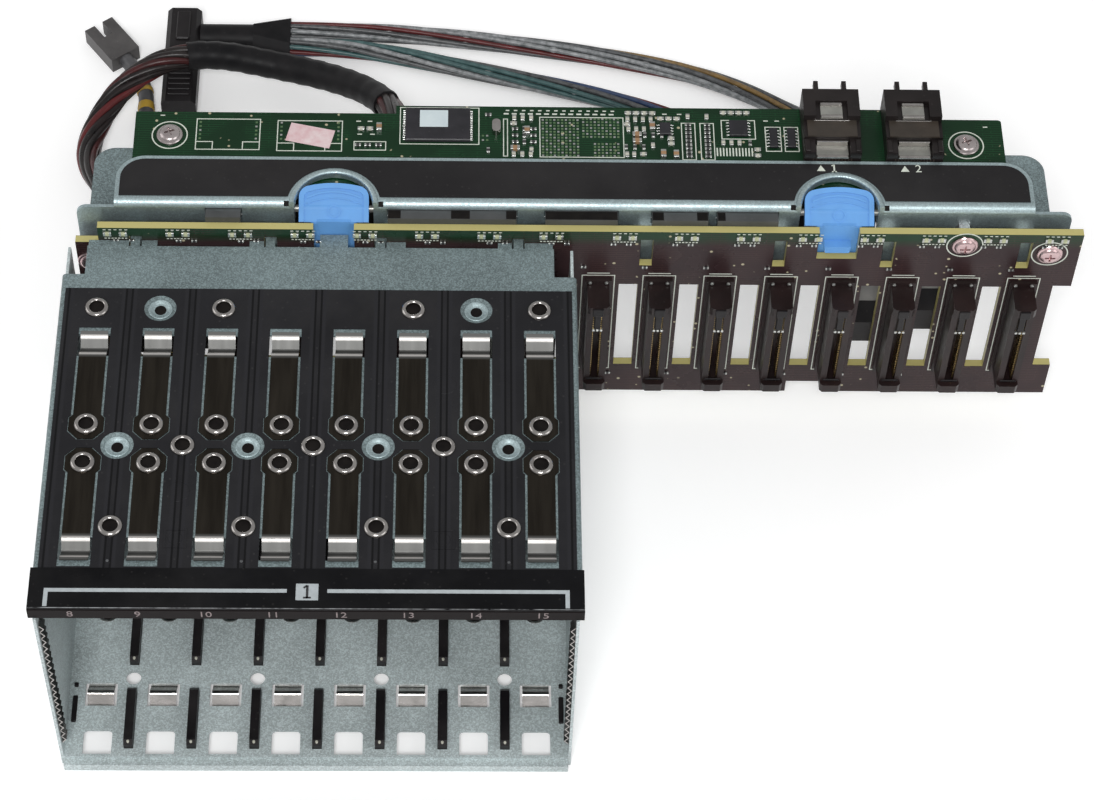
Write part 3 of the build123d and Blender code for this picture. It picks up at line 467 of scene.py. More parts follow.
def floor_finish():
    """Pale floor that comes near white for the camera and in reflections, and keeps the shadow."""
    made, tree, shader = new_finish("pale_floor", emission_color=WHITE)
    surface = grain(tree, (0.90, 0.90, 0.90), (0.88, 0.88, 0.88), 3.0, (0.75, 0.85))
    path = node(tree, "LightPath")
    seen = calc(tree, "MAXIMUM", path["Is Camera Ray"], path["Is Glossy Ray"])
    seen = calc(tree, "MAXIMUM", seen, path["Is Transmission Ray"])
    feed(shader.inputs, {"Emission Strength": calc(tree, "MULTIPLY", seen, 0.24)})
    coat(shader, surface["Colour"], surface["Roughness"])
    return made


def latch_finish():
    """Blue moulded plastic."""
    blue = Vector(colours().latch)
    return grain_finish("latch_blue", blue, blue * 1.12, 120.0, (0.4, 0.55), specular_ior_level=0.2)


def print_finish(name, colour):
    """Ink that lies a little uneven."""
    return grain_finish(name, colour, Vector(colour) * 0.82, 500.0, (0.5, 0.65))


def shine(level):
    """The shader value of a dull plastic."""
    return {"specular_ior_level": level}


METAL = {"metallic": 1.0}
INK = (0.5, 0.65)
PART = (0.35, 0.5)
WIRE = (0.25, 0.4)
CLOTH = (0.3, 0.45)

# Grained finishes: two colours, scale of the clouds, gloss range, amount of dust, constant shader values
GRAINS = {
    "bright_nickel": ((0.46, 0.44, 0.42), (0.34, 0.32, 0.31), 250.0, (0.14, 0.26), 0.0, METAL),
    "clip_steel": ((0.26, 0.26, 0.24), (0.36, 0.36, 0.33), 200.0, CLOTH, 0.0, {"metallic": 0.6}),
    # Painted shade: near black, for bores, holes and gaps where shade falls.
    "painted_shade": ((0.005, 0.004, 0.004), (0.012, 0.010, 0.009), 300.0, (0.5, 0.7), 0.0, shine(0.1)),
    "screw_steel": ((0.60, 0.55, 0.54), (0.46, 0.40, 0.40), 300.0, (0.2, 0.34), 0.0, METAL),
    "screw_pink": ((0.62, 0.46, 0.46), (0.50, 0.36, 0.37), 300.0, (0.2, 0.34), 0.0, METAL),
    "shelf_film": ((0.011, 0.010, 0.011), (0.018, 0.017, 0.018), 26.0, (0.34, 0.5), 0.03, shine(0.2)),
    "black_plastic": ((0.007, 0.006, 0.007), (0.013, 0.011, 0.012), 90.0, (0.34, 0.5), 0.04, shine(0.22)),
    "connector_plastic": ((0.010, 0.006, 0.006), (0.020, 0.010, 0.010), 90.0, (0.28, 0.42), 0.03, shine(0.25)),
    "port_plastic": ((0.008, 0.006, 0.006), (0.014, 0.010, 0.010), 90.0, (0.28, 0.45), 0.03, shine(0.25)),
    "port_plate": ((0.030, 0.024, 0.019), (0.046, 0.036, 0.028), 140.0, CLOTH, 0.03, shine(0.3)),
    "pale_plastic": ((0.30, 0.29, 0.27), (0.22, 0.21, 0.20), 90.0, (0.4, 0.55), 0.05, {}),
    "bridge_grey": ((0.040, 0.043, 0.044), (0.065, 0.068, 0.070), 90.0, (0.3, 0.5), 0.05, {}),
    "light_cream": ((0.52, 0.53, 0.36), (0.34, 0.37, 0.22), 900.0, (0.2, 0.35), 0.0, {}),
    "chip_black": ((0.013, 0.013, 0.016), (0.024, 0.023, 0.028), 200.0, CLOTH, 0.03, shine(0.35)),
    "tape_black": ((0.005, 0.005, 0.006), (0.013, 0.012, 0.013), 160.0, (0.42, 0.6), 0.02, shine(0.16)),
    "grey_jacket": ((0.045, 0.045, 0.050), (0.10, 0.10, 0.105), 160.0, PART, 0.10, {}),
    "plug_grey": ((0.040, 0.038, 0.038), (0.075, 0.070, 0.070), 120.0, PART, 0.08, {}),
    "wire_black": ((0.006, 0.005, 0.005), (0.016, 0.010, 0.010), 220.0, WIRE, 0.10, shine(0.3)),
    "wire_red": ((0.060, 0.009, 0.010), (0.028, 0.006, 0.006), 220.0, WIRE, 0.06, shine(0.3)),
    "wire_maroon": ((0.12, 0.016, 0.018), (0.07, 0.012, 0.012), 220.0, WIRE, 0.05, shine(0.3)),
    "wire_white": ((0.34, 0.35, 0.36), (0.10, 0.11, 0.115), 520.0, CLOTH, 0.1, {}),
    "wire_grey": ((0.030, 0.032, 0.035), (0.11, 0.115, 0.12), 520.0, CLOTH, 0.08, {}),
    "wire_teal": ((0.018, 0.060, 0.062), (0.060, 0.13, 0.13), 520.0, CLOTH, 0.06, {}),
    "wire_blue": ((0.012, 0.028, 0.085), (0.030, 0.060, 0.14), 520.0, CLOTH, 0.06, {}),
    "wire_gold": ((0.26, 0.16, 0.05), (0.12, 0.075, 0.03), 520.0, CLOTH, 0.05, {}),
    "tape_yellow": ((0.50, 0.32, 0.04), (0.36, 0.22, 0.03), 160.0, (0.4, 0.55), 0.05, {}),
    "print_faint": ((0.26, 0.21, 0.21), (0.17, 0.14, 0.14), 600.0, INK, 0.0, {}),
    "print_dark": ((0.016, 0.016, 0.018), (0.03, 0.03, 0.032), 300.0, INK, 0.0, {}),
    "solder": ((0.58, 0.59, 0.57), (0.40, 0.41, 0.39), 400.0, (0.22, 0.38), 0.0, {"metallic": 0.9}),
    "pad_dark": ((0.055, 0.120, 0.050), (0.11, 0.17, 0.08), 300.0, WIRE, 0.0, {}),
    "part_tan": ((0.34, 0.20, 0.10), (0.26, 0.15, 0.08), 300.0, PART, 0.0, {}),
    "part_dark": ((0.020, 0.020, 0.022), (0.04, 0.04, 0.04), 300.0, PART, 0.0, {}),
    "part_white": ((0.55, 0.54, 0.46), (0.42, 0.41, 0.35), 300.0, PART, 0.0, {}),
    "label_white": ((0.60, 0.68, 0.70), (0.52, 0.60, 0.63), 200.0, INK, 0.0, {}),
    "label_pink": ((0.72, 0.62, 0.62), (0.62, 0.40, 0.42), 330.0, INK, 0.0, {}),
}

FINISHES = {
    "zinc_sheet": lambda: zinc_finish("zinc_sheet", (1.05, 1.05, 1.05), 0.35, 0.4),
    # Painted lit copy: the same sheet zinc made lighter, so the floor and side walls read as lit.
    "zinc_inside_painted_lit": lambda: zinc_finish("zinc_inside_painted_lit", (2.6, 2.3, 2.25), 0.1, 0.3),
    # Painted highlight: a lighter, more metallic copy of the same sheet zinc, so the bracket fold and the bowl
    # rims shine brighter.
    "zinc_bright_painted_highlight": lambda: zinc_finish("zinc_bright_painted_highlight", (2.5, 2.4, 2.4), 0.85, 0.16),
    "spring_leaf": spring_finish,
    "cover_film": film_finish,
    "front_band": band_finish,
    "latch_blue": latch_finish,
    "pale_floor": floor_finish,
    "contact_gold": contact_finish,
    "backplane": lambda: board_finish(
        "backplane", colours().backplane, Vector(colours().backplane) * 1.5, (0.050, 0.026, 0.024),
        (0.47, 0.42, 0.17), "Y", (BOARD_FRONT, BOARD_BACK), (78.5, 82.0, (0.008, 0.034, 0.014))),
    "expander": lambda: board_finish(
        "expander", colours().expander, Vector(colours().expander) * 1.4, (0.009, 0.058, 0.020),
        (0.34, 0.30, 0.12), "Z", (EXPANDER_UNDER, EXPANDER_TOP)),
    "print_ink": lambda: print_finish("print_ink", colours().print_ink),
    "silk_white": lambda: print_finish("silk_white", colours().silk),
}


def finish(name):
    """The material of that name, made the first time that it is asked for."""
    found = bpy.data.materials.get("finish_" + name)
    if found:
        return found
    if name in FINISHES:
        return FINISHES[name]()
    *looks, constants = GRAINS[name]
    return grain_finish(name, *looks, **constants)


NODE_FINISHES = {
    "zinc_sheet": ("top_cover", "expander_tray"),
    "zinc_bright_painted_highlight": ("rear_bracket",),
    # The floor and side walls take the lighter, painted lit copy of the zinc.
    "zinc_inside_painted_lit": ("cage_floor", "side_wall_left", "side_wall_right"),
    "cover_film": ("cover_film",),
    "front_band": ("front_band",),
    "shelf_film": ("shelf_film",),
    "spring_leaf": ("cover_springs_front", "cover_springs_rear"),
    "bright_nickel": ("floor_springs", "gasket_strip_left", "gasket_strip_right", "spring_rivets",
                      "cover_rivets", "crystal_can"),
    "clip_steel": ("port_clips", "pivot_pin_left", "pivot_pin_right"),
    "screw_steel": ("board_screws", "expander_screws", "board_standoffs", "expander_spacers"),
    "bridge_grey": ("bridge_connectors",),
    "black_plastic": ("lower_rails", "upper_rails", "rear_headers", "angle_plug"),
    "connector_plastic": ("drive_connectors",),
    "port_plastic": ("port_housings",),
    "port_plate": ("port_covers",),
    "pale_plastic": ("header_plugs",),
    "backplane": ("backplane_board",),
    "expander": ("expander_board",),
    "contact_gold": ("connector_contacts",),
    "light_cream": ("slot_lights",),
    "latch_blue": ("release_latch_left", "release_latch_right"),
    "chip_black": ("memory_chip",),
    "tape_black": ("signal_sleeve", "signal_boot", "power_cable"),
    "wire_grey": ("signal_cable_rear", "signal_cable_front"),
    "grey_jacket": ("grey_cable",),
    "plug_grey": ("flat_plug",),
}


def begin():
    """Leaves edit mode and selects nothing."""
    active = bpy.context.view_layer.objects.active
    if active and active.mode != "OBJECT":
        bpy.ops.object.mode_set(mode="OBJECT")
    bpy.ops.object.select_all(action="DESELECT")


def pick(piece):
    """Selects one piece alone and makes it active."""
    begin()
    piece.select_set(True)
    bpy.context.view_layer.objects.active = piece


def discard(piece):
    """Takes a piece and its data out of the file."""
    data = piece.data
    store = bpy.data.curves if piece.type == "CURVE" else bpy.data.meshes
    bpy.data.objects.remove(piece)
    store.remove(data)


def dress(piece, name, body=ROOT, instead_of=None):
    """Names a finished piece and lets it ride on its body."""
    piece.name = name
    piece.data.name = name
    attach(piece, body)
    if instead_of:
        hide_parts(instead_of)
    return piece


def edit_all():
    """Opens the active piece in edit mode, with all of it selected."""
    bpy.ops.object.mode_set(mode="EDIT")
    bpy.ops.mesh.select_all(action="SELECT")


def sized(place, scale):
    """Puts a new primitive at its place and size in millimetres, and opens it."""
    piece = bpy.context.object
    piece.location = Vector(place) * MM
    piece.scale = Vector(scale) * MM
    bpy.ops.object.transform_apply(location=True, rotation=True, scale=True)
    edit_all()
    return piece


def plate(x0, x1, y0, y1, z):
    """A level rectangle in millimetres, left open."""
    begin()
    bpy.ops.mesh.primitive_plane_add(size=1.0)
    return sized(((x0 + x1) / 2, (y0 + y1) / 2, z), (x1 - x0, y1 - y0, 1.0))


def disc(radius, sides, place=(0, 0, 0)):
    """A level disc in millimetres, left open."""
    begin()
    bpy.ops.mesh.primitive_circle_add(vertices=sides, radius=1.0, fill_type="NGON")
    return sized(place, (radius, radius, 1.0))


def close_up(piece):
    """Ends the modelling of a piece: outward normals, and back to object mode."""
    bpy.ops.mesh.select_all(action="SELECT")
    bpy.ops.mesh.normals_make_consistent(inside=False)
    bpy.ops.object.mode_set(mode="OBJECT")
    return piece


def rise(height):
    """Extrudes what is selected straight up, in millimetres."""
    bpy.ops.mesh.extrude_region_move(TRANSFORM_OT_translate={"value": (0, 0, height * MM)})


def raised(piece, height, rim=None):
    """Thickens an open flat piece, or only a rim of that width, and closes it."""
    if rim:
        bpy.ops.mesh.inset(thickness=rim * MM, use_boundary=True)
        bpy.ops.mesh.delete(type="FACE")
        bpy.ops.mesh.select_all(action="SELECT")
    rise(height)
    return close_up(piece)


def slab(low, high, bevel, segments=1):
    """A block between two corners in millimetres, with its edges bevelled."""
    begin()
    low, high = Vector(low), Vector(high)
    bpy.ops.mesh.primitive_cube_add(size=1.0)
    piece = sized((low + high) / 2, high - low)
    bpy.ops.mesh.bevel(offset=bevel * MM, segments=segments, affect="EDGES")
    return close_up(piece)


def strip(x0, x1, y0, y1, z, height=PRINT):
    """A thin printed strip on a level surface, in millimetres."""
    return raised(plate(x0, x1, y0, y1, z), height)


def outline(x0, x1, y0, y1, z, width, height=PRINT):
    """A thin printed frame on a level surface, in millimetres."""
    return raised(plate(x0, x1, y0, y1, z), height, width)


def ring(outer, inner, height, sides=48):
    """A flat ring round the origin, in millimetres."""
    return raised(disc(outer, sides), height, outer - inner)


def turned(profile, sides):
    """A turned piece about Z: a disc extruded and resized along a profile of radius and height."""
    (radius, height), *rest = profile
    piece = disc(radius, sides, (0, 0, height))
    for next_radius, next_height in rest:
        rise(next_height - height)
        ratio = next_radius / radius
        bpy.ops.transform.resize(value=(ratio, ratio, 1.0), center_override=(0, 0, next_height * MM))
        radius, height = next_radius, next_height
    close_up(piece)
    bpy.ops.object.shade_smooth_by_angle(angle=SMOOTH)
    return piece


def cut(piece, tool):
    """Takes a tool's shape out of a piece."""
    change = piece.modifiers.new("cut", "BOOLEAN")
    change.operation = "DIFFERENCE"
    change.solver = "EXACT"
    change.object = tool
    pick(piece)
    bpy.ops.object.modifier_apply(modifier="cut")
    discard(tool)
    return piece


def halved(piece, places):
    """Adds an edge ring to a piece at each place along X, in millimetres."""
    pick(piece)
    edit_all()
    for x in places:
        bpy.ops.mesh.bisect(plane_co=(x * MM, 0, 0), plane_no=(1, 0, 0))
        bpy.ops.mesh.select_all(action="SELECT")
    bpy.ops.object.mode_set(mode="OBJECT")
    return piece


def trimmed(piece, place, normal):
    """Cuts off what lies on the far side of a plane, in millimetres, and closes the cut."""
    pick(piece)
    edit_all()
    bpy.ops.mesh.bisect(plane_co=Vector(place) * MM, plane_no=normal, use_fill=True, clear_outer=True)
    return close_up(piece)


def paint(piece, materials, choose):
    """Gives each face of a piece one of several materials, chosen by the face's middle."""
    piece.data.materials.clear()
    for name in materials:
        piece.data.materials.append(finish(name))
    for face in piece.data.polygons:
        face.material_index = choose(face.center / MM)
    return piece


def painted(piece, name):
    """Gives a piece one material."""
    return paint(piece, (name,), lambda middle: 0)


def bored(piece, outside, inside, radius):
    """Gives a turned piece one material outside a radius and another inside it."""
    return paint(piece, (outside, inside), lambda middle: int(middle.xy.length < radius))


def joined(pieces):
    """Several pieces joined into the first."""
    begin()
    for piece in pieces:
        piece.select_set(True)
    bpy.context.view_layer.objects.active = pieces[0]
    bpy.ops.object.join()
    return bpy.context.object


def copies(source, places):
    """Copies of a piece at each place, joined into one. A place is a matrix."""
    begin()
    made = []
    for place in places:
        copy = source.copy()
        copy.data = source.data.copy()
        copy.data.transform(place)
        bpy.context.collection.objects.link(copy)
        made.append(copy)
    discard(source)
    return joined(made)


def shift(x, y, z):
    """A place in millimetres."""
    return Matrix.Translation(metres(x, y, z))


def at(x, y, z, turn=0.0):
    """A place in millimetres, with a turn about Z in degrees."""
    return shift(x, y, z) @ Matrix.Rotation(math.radians(turn), 4, "Z")


def tipped(degrees):
    """A turn about X."""
    return Matrix.Rotation(math.radians(degrees), 4, "X")


def facing_front(x, y, z):
    """A place whose Z axis points forwards."""
    return shift(x, y, z) @ tipped(90)


def words(text, size, place, material):
    """A short print, made a mesh and laid at a place."""
    begin()
    bpy.ops.object.text_add()
    label = bpy.context.object.data
    label.body = text
    label.size = size
    label.align_x = "CENTER"
    label.align_y = "CENTER"
    label.extrude = sizes().print_height / 2
    label.resolution_u = 3
    bpy.ops.object.convert(target="MESH")
    made = bpy.context.object
    made.data.transform(place)
    return painted(made, material)


def numeral_one(height, place, material):
    """A plain numeral 1 of three strokes, laid at a place, with its height in millimetres."""
    stem = strip(-height * 0.07, height * 0.09, -height / 2, height / 2, 0)
    foot = strip(-height * 0.24, height * 0.26, -height / 2, -height * 0.37, 0)
    flag = strip(-height * 0.06, height * 0.07, -height * 0.3, 0, 0)
    flag.data.transform(at(0, height * 0.49, 0, -52))
    made = joined([stem, foot, flag])
    made.data.transform(place)
    return painted(made, material)


def light_x(index):
    """The middle of a pair of status lights, which sit further right outside the cage."""
    return slot_x(index) + (3.5 if index < BAYS else 6.7)


def passive(length, width, height, material):
    """One small board part with a soldered cap at each end."""
    made = slab((-length / 2, -width / 2, 0), (length / 2, width / 2, height), 0.06)
    cap = length * 0.27
    made = halved(made, (-length / 2 + cap, length / 2 - cap))
    return paint(made, (material, "solder"), lambda middle: int(abs(middle.x) > length / 2 - cap))


def small_chip(width, length, legs):
    """A small chip with bent legs on both long sides."""
    body = painted(slab((-width / 2, -length / 2, 0.15), (width / 2, length / 2, 1.1), 0.12), "chip_black")
    leg = joined([slab((0, -0.16, 0.35), (0.55, 0.16, 0.55), 0.05),
                  slab((0.4, -0.16, 0), (0.95, 0.16, 0.42), 0.05)])
    places = []
    for i in range(legs):
        y = -length / 2 + length / legs * (i + 0.5)
        places += [at(width / 2 - 0.05, y, 0), at(-width / 2 + 0.05, y, 0, 180)]
    return joined([body, painted(copies(leg, places), "solder")])


# Cable routes, in millimetres, with Y from the face of the header plugs
POWER_ROUTE = ((24, 0, 44), (24, 16.1, 44), (24, 40, 41), (20, 64, 32), (11, 84, 21), (-4, 98, 12.5),
               (-22, 104.5, 10.5), (-40, 105, 15), (-56, 102, 15.8), (-69.5, 95, 10), (-77, 82, 6.5),
               (-79, 66, 8.5), (-71, 48, 16), (-55.5, 24, 26), (-52, 9, 28), (-52, 0, 28))
SIGNAL_REAR_ROUTE = ((178, 0, 42), (178, 16.1, 42), (177, 38.1, 34), (171, 62, 17), (153, 85, 5.2),
                     (122, 106, 3.5), (90, 114.5, 3.5), (58, 120, 3.5), (28, 123.4, 3.9),
                     (4, 124.3, 4.6), (-17, 124.3, 4.6))
SIGNAL_FRONT_ROUTE = ((158, 0, 36), (158, 16.1, 36), (156, 36.1, 28), (148, 57, 13), (129, 77, 4.2),
                      (98, 93.5, 3.5), (68, 102.5, 3.5), (38, 110, 3.6), (12, 116, 4.2),
                      (-4, 117.5, 4.6), (-17, 117.5, 4.6))
GREY_ROUTE = ((-34, 0, 30), (-34, 14.1, 30), (-37, 31.1, 23), (-47, 50, 9), (-57, 68, 3.6), (-62, 86, 2.8),
              (-62.5, 103, 2.8), (-70, 113, 2.8))
# Colours of the wires in a bundle, the middle one first
POWER_WIRES = "black black red black black red black black maroon black"
SIGNAL_REAR_WIRES = "grey white grey gold grey white grey maroon white"
SIGNAL_FRONT_WIRES = "grey teal grey blue maroon teal grey white teal"


def new_curve(name, radius, rounding):
    """An empty round curve with closed ends, and its object."""
    curve = bpy.data.curves.new(name, "CURVE")
    curve.dimensions = "3D"
    curve.bevel_depth = radius
    curve.bevel_resolution = rounding
    curve.use_fill_caps = True
    made = bpy.data.objects.new(name, curve)
    bpy.context.collection.objects.link(made)
    return made


def new_spline(curve, kind, points):
    """A spline of a curve through, or guided by, points in metres."""
    spline = curve.splines.new(kind)
    spline.points.add(len(points) - 1)
    for point, place in zip(spline.points, points):
        point.co = (*place, 1.0)
    return spline


def as_mesh(piece):
    """A curve's object made a mesh."""
    pick(piece)
    bpy.ops.object.convert(target="MESH")
    return bpy.context.object


def route_curve(name, route, radius):
    """A cable's line: one smooth spline whose control points are the route."""
    made = new_curve(name, radius, 5)
    made.data.resolution_u = 10
    spline = new_spline(made.data, "NURBS", [metres(x, PLUG_FACE + y, z) for x, y, z in route])
    spline.order_u = 3
    spline.use_endpoint_u = True
    return made


def line_points(route):
    """The points of a route's smooth spline."""
    made = route_curve("route_line", route, 0.0)
    mesh = bpy.data.meshes.new_from_object(made)
    points = [vertex.co.copy() for vertex in mesh.vertices]
    discard(made)
    bpy.data.meshes.remove(mesh)
    return points


def frames_along(points):
    """At each point, two directions across the line that turn as little as they can."""
    across = Vector((0, 0, 1))
    made = []
    for i, point in enumerate(points):
        along = (points[min(i + 1, len(points) - 1)] - points[max(i - 1, 0)]).normalized()
        across = (across - along * across.dot(along)).normalized()
        made.append((point, across.copy(), along.cross(across)))
    return made


def wire_bundle(name, points, wires, wire_radius, reach, turns):
    """Wires laid round a line with a slow twist. Each wire has its own material."""
    made = new_curve(name, wire_radius, 2)
    kinds = sorted(set(wires))
    for kind in kinds:
        made.data.materials.append(finish("wire_" + kind))
    places = frames_along(points)
    for index, kind in enumerate(wires):
        out = 0.0 if index == 0 else reach
        path = []
        for step, (point, up, side) in enumerate(places):
            angle = 2 * math.pi * (index / (len(wires) - 1) + turns * step / (len(places) - 1))
            path.append(point + (up * math.cos(angle) + side * math.sin(angle)) * out)
        new_spline(made.data, "POLY", path).material_index = kinds.index(kind)
    made = as_mesh(made)
    bpy.ops.object.shade_smooth()
    return made


def part_of(points, start, end):
    """The points of a line between two shares of its length."""
    run = 0.0
    runs = [0.0]
    for here, there in zip(points, points[1:]):
        run += (there - here).length
        runs.append(run)
    return [point for point, at_run in zip(points, runs) if start * run <= at_run <= end * run]


def tape(name, points, radius, material):
    """Tape round part of a cable, with uneven turns."""
    made = new_curve(name, radius, 4)
    spline = new_spline(made.data, "POLY", points)
    for index, point in enumerate(spline.points):
        point.radius = 1.0 + 0.03 * math.sin(index * 1.9)
    made = as_mesh(made)
    bpy.ops.object.shade_smooth_by_angle(angle=math.radians(40))
    return dress(painted(made, material), name)


class CAGE_OT_stage(bpy.types.Operator):
    """Adds the pale floor, the studio lights, the world and the camera."""

    bl_idname = "cage.stage"
    bl_label = "Stage"

    def execute(self, context):
        begin()
        bpy.ops.mesh.primitive_plane_add(size=FLOOR_SIZE, location=(0, 0, 0))
        floor = context.object
        floor.name = "stage_floor"
        floor.data.materials.append(finish("pale_floor"))
        for name, place, size, power in LIGHTS:
            bpy.ops.object.light_add(type="AREA", location=place)
            lamp = context.object
            lamp.name = name
            lamp.data.size = size
            lamp.data.energy = power
            lamp.rotation_euler = (LIGHT_AIM - Vector(place)).to_track_quat("-Z", "Y").to_euler()
        world = bpy.data.worlds.new("studio")
        context.scene.world = world
        world.use_nodes = True
        feed(world.node_tree.nodes["Background"].inputs, {"Color": WHITE, "Strength": WORLD_STRENGTH})
        context.scene.view_settings.view_transform = "Standard"
        self.add_camera(context)
        return {"FINISHED"}

    def add_camera(self, context):
        """Puts the camera where the photo was taken from."""
        down, side, roll = [math.radians(angle) for angle in CAMERA_ANGLES]
        ahead = Vector((math.sin(side) * math.cos(down), math.cos(side) * math.cos(down), -math.sin(down)))
        right = Vector((math.cos(side), -math.sin(side), 0))
        up = right.cross(ahead)
        tilted_right = right * math.cos(roll) + up * math.sin(roll)
        tilted_up = up * math.cos(roll) - right * math.sin(roll)
        data = bpy.data.cameras.new("photo_camera")
        data.sensor_width = SENSOR
        data.lens = FOCAL_PIXELS * SENSOR / PHOTO_WIDTH
        data.clip_end = 20.0
        camera = bpy.data.objects.new("photo_camera", data)
        turn = Matrix((tilted_right, tilted_up, -ahead)).transposed()
        camera.matrix_world = Matrix.Translation(CAMERA_PLACE) @ turn.to_4x4()
        context.collection.objects.link(camera)
        context.scene.camera = camera


class CAGE_OT_finishes(bpy.types.Operator):
    """Gives every solid of the cage its finish."""

    bl_idname = "cage.finishes"
    bl_label = "Finishes"

    def execute(self, context):
        for name, nodes in NODE_FINISHES.items():
            for part in nodes:
                mesh = NODES[part].data
                mesh.materials.clear()
                mesh.materials.append(finish(name))
        return {"FINISHED"}


class CAGE_OT_cables(bpy.types.Operator):
    """Lays the power loop, the two signal bundles and the grey cable."""

    bl_idname = "cage.cables"
    bl_label = "Cables"

    def execute(self, context):
        wire = sizes().wire_radius
        line = line_points(POWER_ROUTE)
        power = wire_bundle("power_wires", line, POWER_WIRES.split(), 1.25 * MM, 2.7 * MM, 3.0)
        dress(power, "power_wires", instead_of="power_cable")
        sleeve = tape("power_tape", part_of(line, 0.27, 0.555), 4.5 * MM, "tape_black")
        line = line_points(SIGNAL_REAR_ROUTE)
        rear = wire_bundle("signal_wires_rear", line, SIGNAL_REAR_WIRES.split(), wire, 2.3 * MM, 1.2)
        dress(rear, "signal_wires_rear", instead_of="signal_cable_rear")
        ribs = self.plug_ribs()
        line = line_points(SIGNAL_FRONT_ROUTE)
        front = wire_bundle("signal_wires_front", line, SIGNAL_FRONT_WIRES.split(), wire, 2.3 * MM, 1.2)
        dress(front, "signal_wires_front", instead_of="signal_cable_front")
        line = line_points(GREY_ROUTE)
        grey = route_curve("grey_lead", GREY_ROUTE, 2.5 * MM)
        grey.data.materials.append(finish("grey_jacket"))
        dress(grey, "grey_lead", instead_of="grey_cable")
        bands = [tape(f"yellow_tape_{i}", part_of(line, *span), 2.7 * MM, "tape_yellow")
                 for i, span in enumerate(((0.80, 0.835), (0.865, 0.885)))]
        return {"FINISHED"}

    def plug_ribs(self):
        """Grip ribs and a release tab on the right-angle plug."""
        low, high = (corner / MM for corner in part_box("angle_plug"))
        rib = slab((low.x + 2.0, -0.5, high.z - 0.1), (high.x - 2.0, 0.5, high.z + 0.5), 0.2)
        ribs = copies(rib, [at(0, low.y + 3.0 + 2.2 * i, 0) for i in range(5)])
        middle = (low.x + high.x) / 2
        tab = slab((middle - 2.2, high.y - 14.0, high.z - 0.1), (middle + 2.2, high.y - 2.0, high.z + 1.0), 0.4)
        return dress(painted(joined([ribs, tab]), "black_plastic"), "angle_plug_ribs")


class CAGE_OT_rivets(bpy.types.Operator):
    """Sets smooth hollow rivets on the springs and the cover, and eyelets in the floor."""

    bl_idname = "cage.rivets"
    bl_label = "Rivets"

    def execute(self, context):
        springs = [at(slot_x(i), y, COVER_TOP + 0.3) for y in SPRING_ROWS for i in range(BAYS)]
        dress(copies(self.rivet(), springs), "spring_rivets_round",
              instead_of="spring_rivets")
        plain = [(i, REAR_ROW) for i in (0, 2, 5, 7)] + [(i, MIDDLE_ROW) for i in (1.5, 3.5, 5.5)]
        plain = [at(slot_x(i), y, FILM_TOP) for i, y in plain + [(i, FRONT_ROW) for i in ODD_GAPS]]
        dress(copies(self.rivet(), plain), "cover_rivets_round", instead_of="cover_rivets")
        eyelet = turned([(2.9, 0), (2.9, 0.15), (2.6, 0.3), (2.3, 0.3), (2.1, 0.15), (2.1, 0.04)], 28)
        # The eyelet's bore is painted dark as shade.
        bored(eyelet, "bright_nickel", "painted_shade", 2.12)
        made = copies(eyelet, [at(slot_x(i), SPRING_ROWS[0], FLOOR_TOP) for i in range(BAYS)])
        dress(made, "floor_eyelets")
        return {"FINISHED"}

    def rivet(self):
        """One hollow rivet head with a rolled rim and a bore painted dark as shade."""
        made = turned([(3.3, 0), (3.3, 0.25), (3.15, 0.55), (2.85, 0.8), (2.5, 0.9), (2.2, 0.82), (2.0, 0.6),
                       (1.95, 0.3), (1.95, 0.06)], 30)
        return bored(made, "bright_nickel", "painted_shade", 1.96)


class CAGE_OT_screws(bpy.types.Operator):
    """Sets washer-head screws with a cross recess on both boards."""

    bl_idname = "cage.screws"
    bl_label = "Screws"

    def execute(self, context):
        board = copies(painted(self.screw(6.46), "screw_pink"),
                       [facing_front(x, BOARD_FRONT, z) for x, z in BOARD_SCREWS])
        dress(board, "board_screws_cross", instead_of="board_screws")
        expander = copies(painted(self.screw(3.8), "screw_steel"),
                          [at(x, y, EXPANDER_TOP, 20) for x, y in EXPANDER_SCREWS])
        dress(expander, "expander_screws_cross", instead_of="expander_screws")
        return {"FINISHED"}

    def screw(self, length):
        """One screw, its seat at the origin, with a washer, a pan head and a cross recess."""
        made = turned([(1.2, -length), (1.5, -length + 0.3), (1.5, 0), (3.7, 0), (3.7, 0.35), (3.5, 0.6),
                       (3.0, 0.72), (2.8, 1.1), (2.45, 1.4), (1.9, 1.6), (1.2, 1.69), (0.6, 1.7)], 32)
        for half_x, half_y in ((1.5, 0.32), (0.32, 1.5)):
            made = cut(made, slab((-half_x, -half_y, 0.8), (half_x, half_y, 3.0), 0.12))
        bpy.ops.object.shade_smooth_by_angle(angle=SMOOTH)
        return made


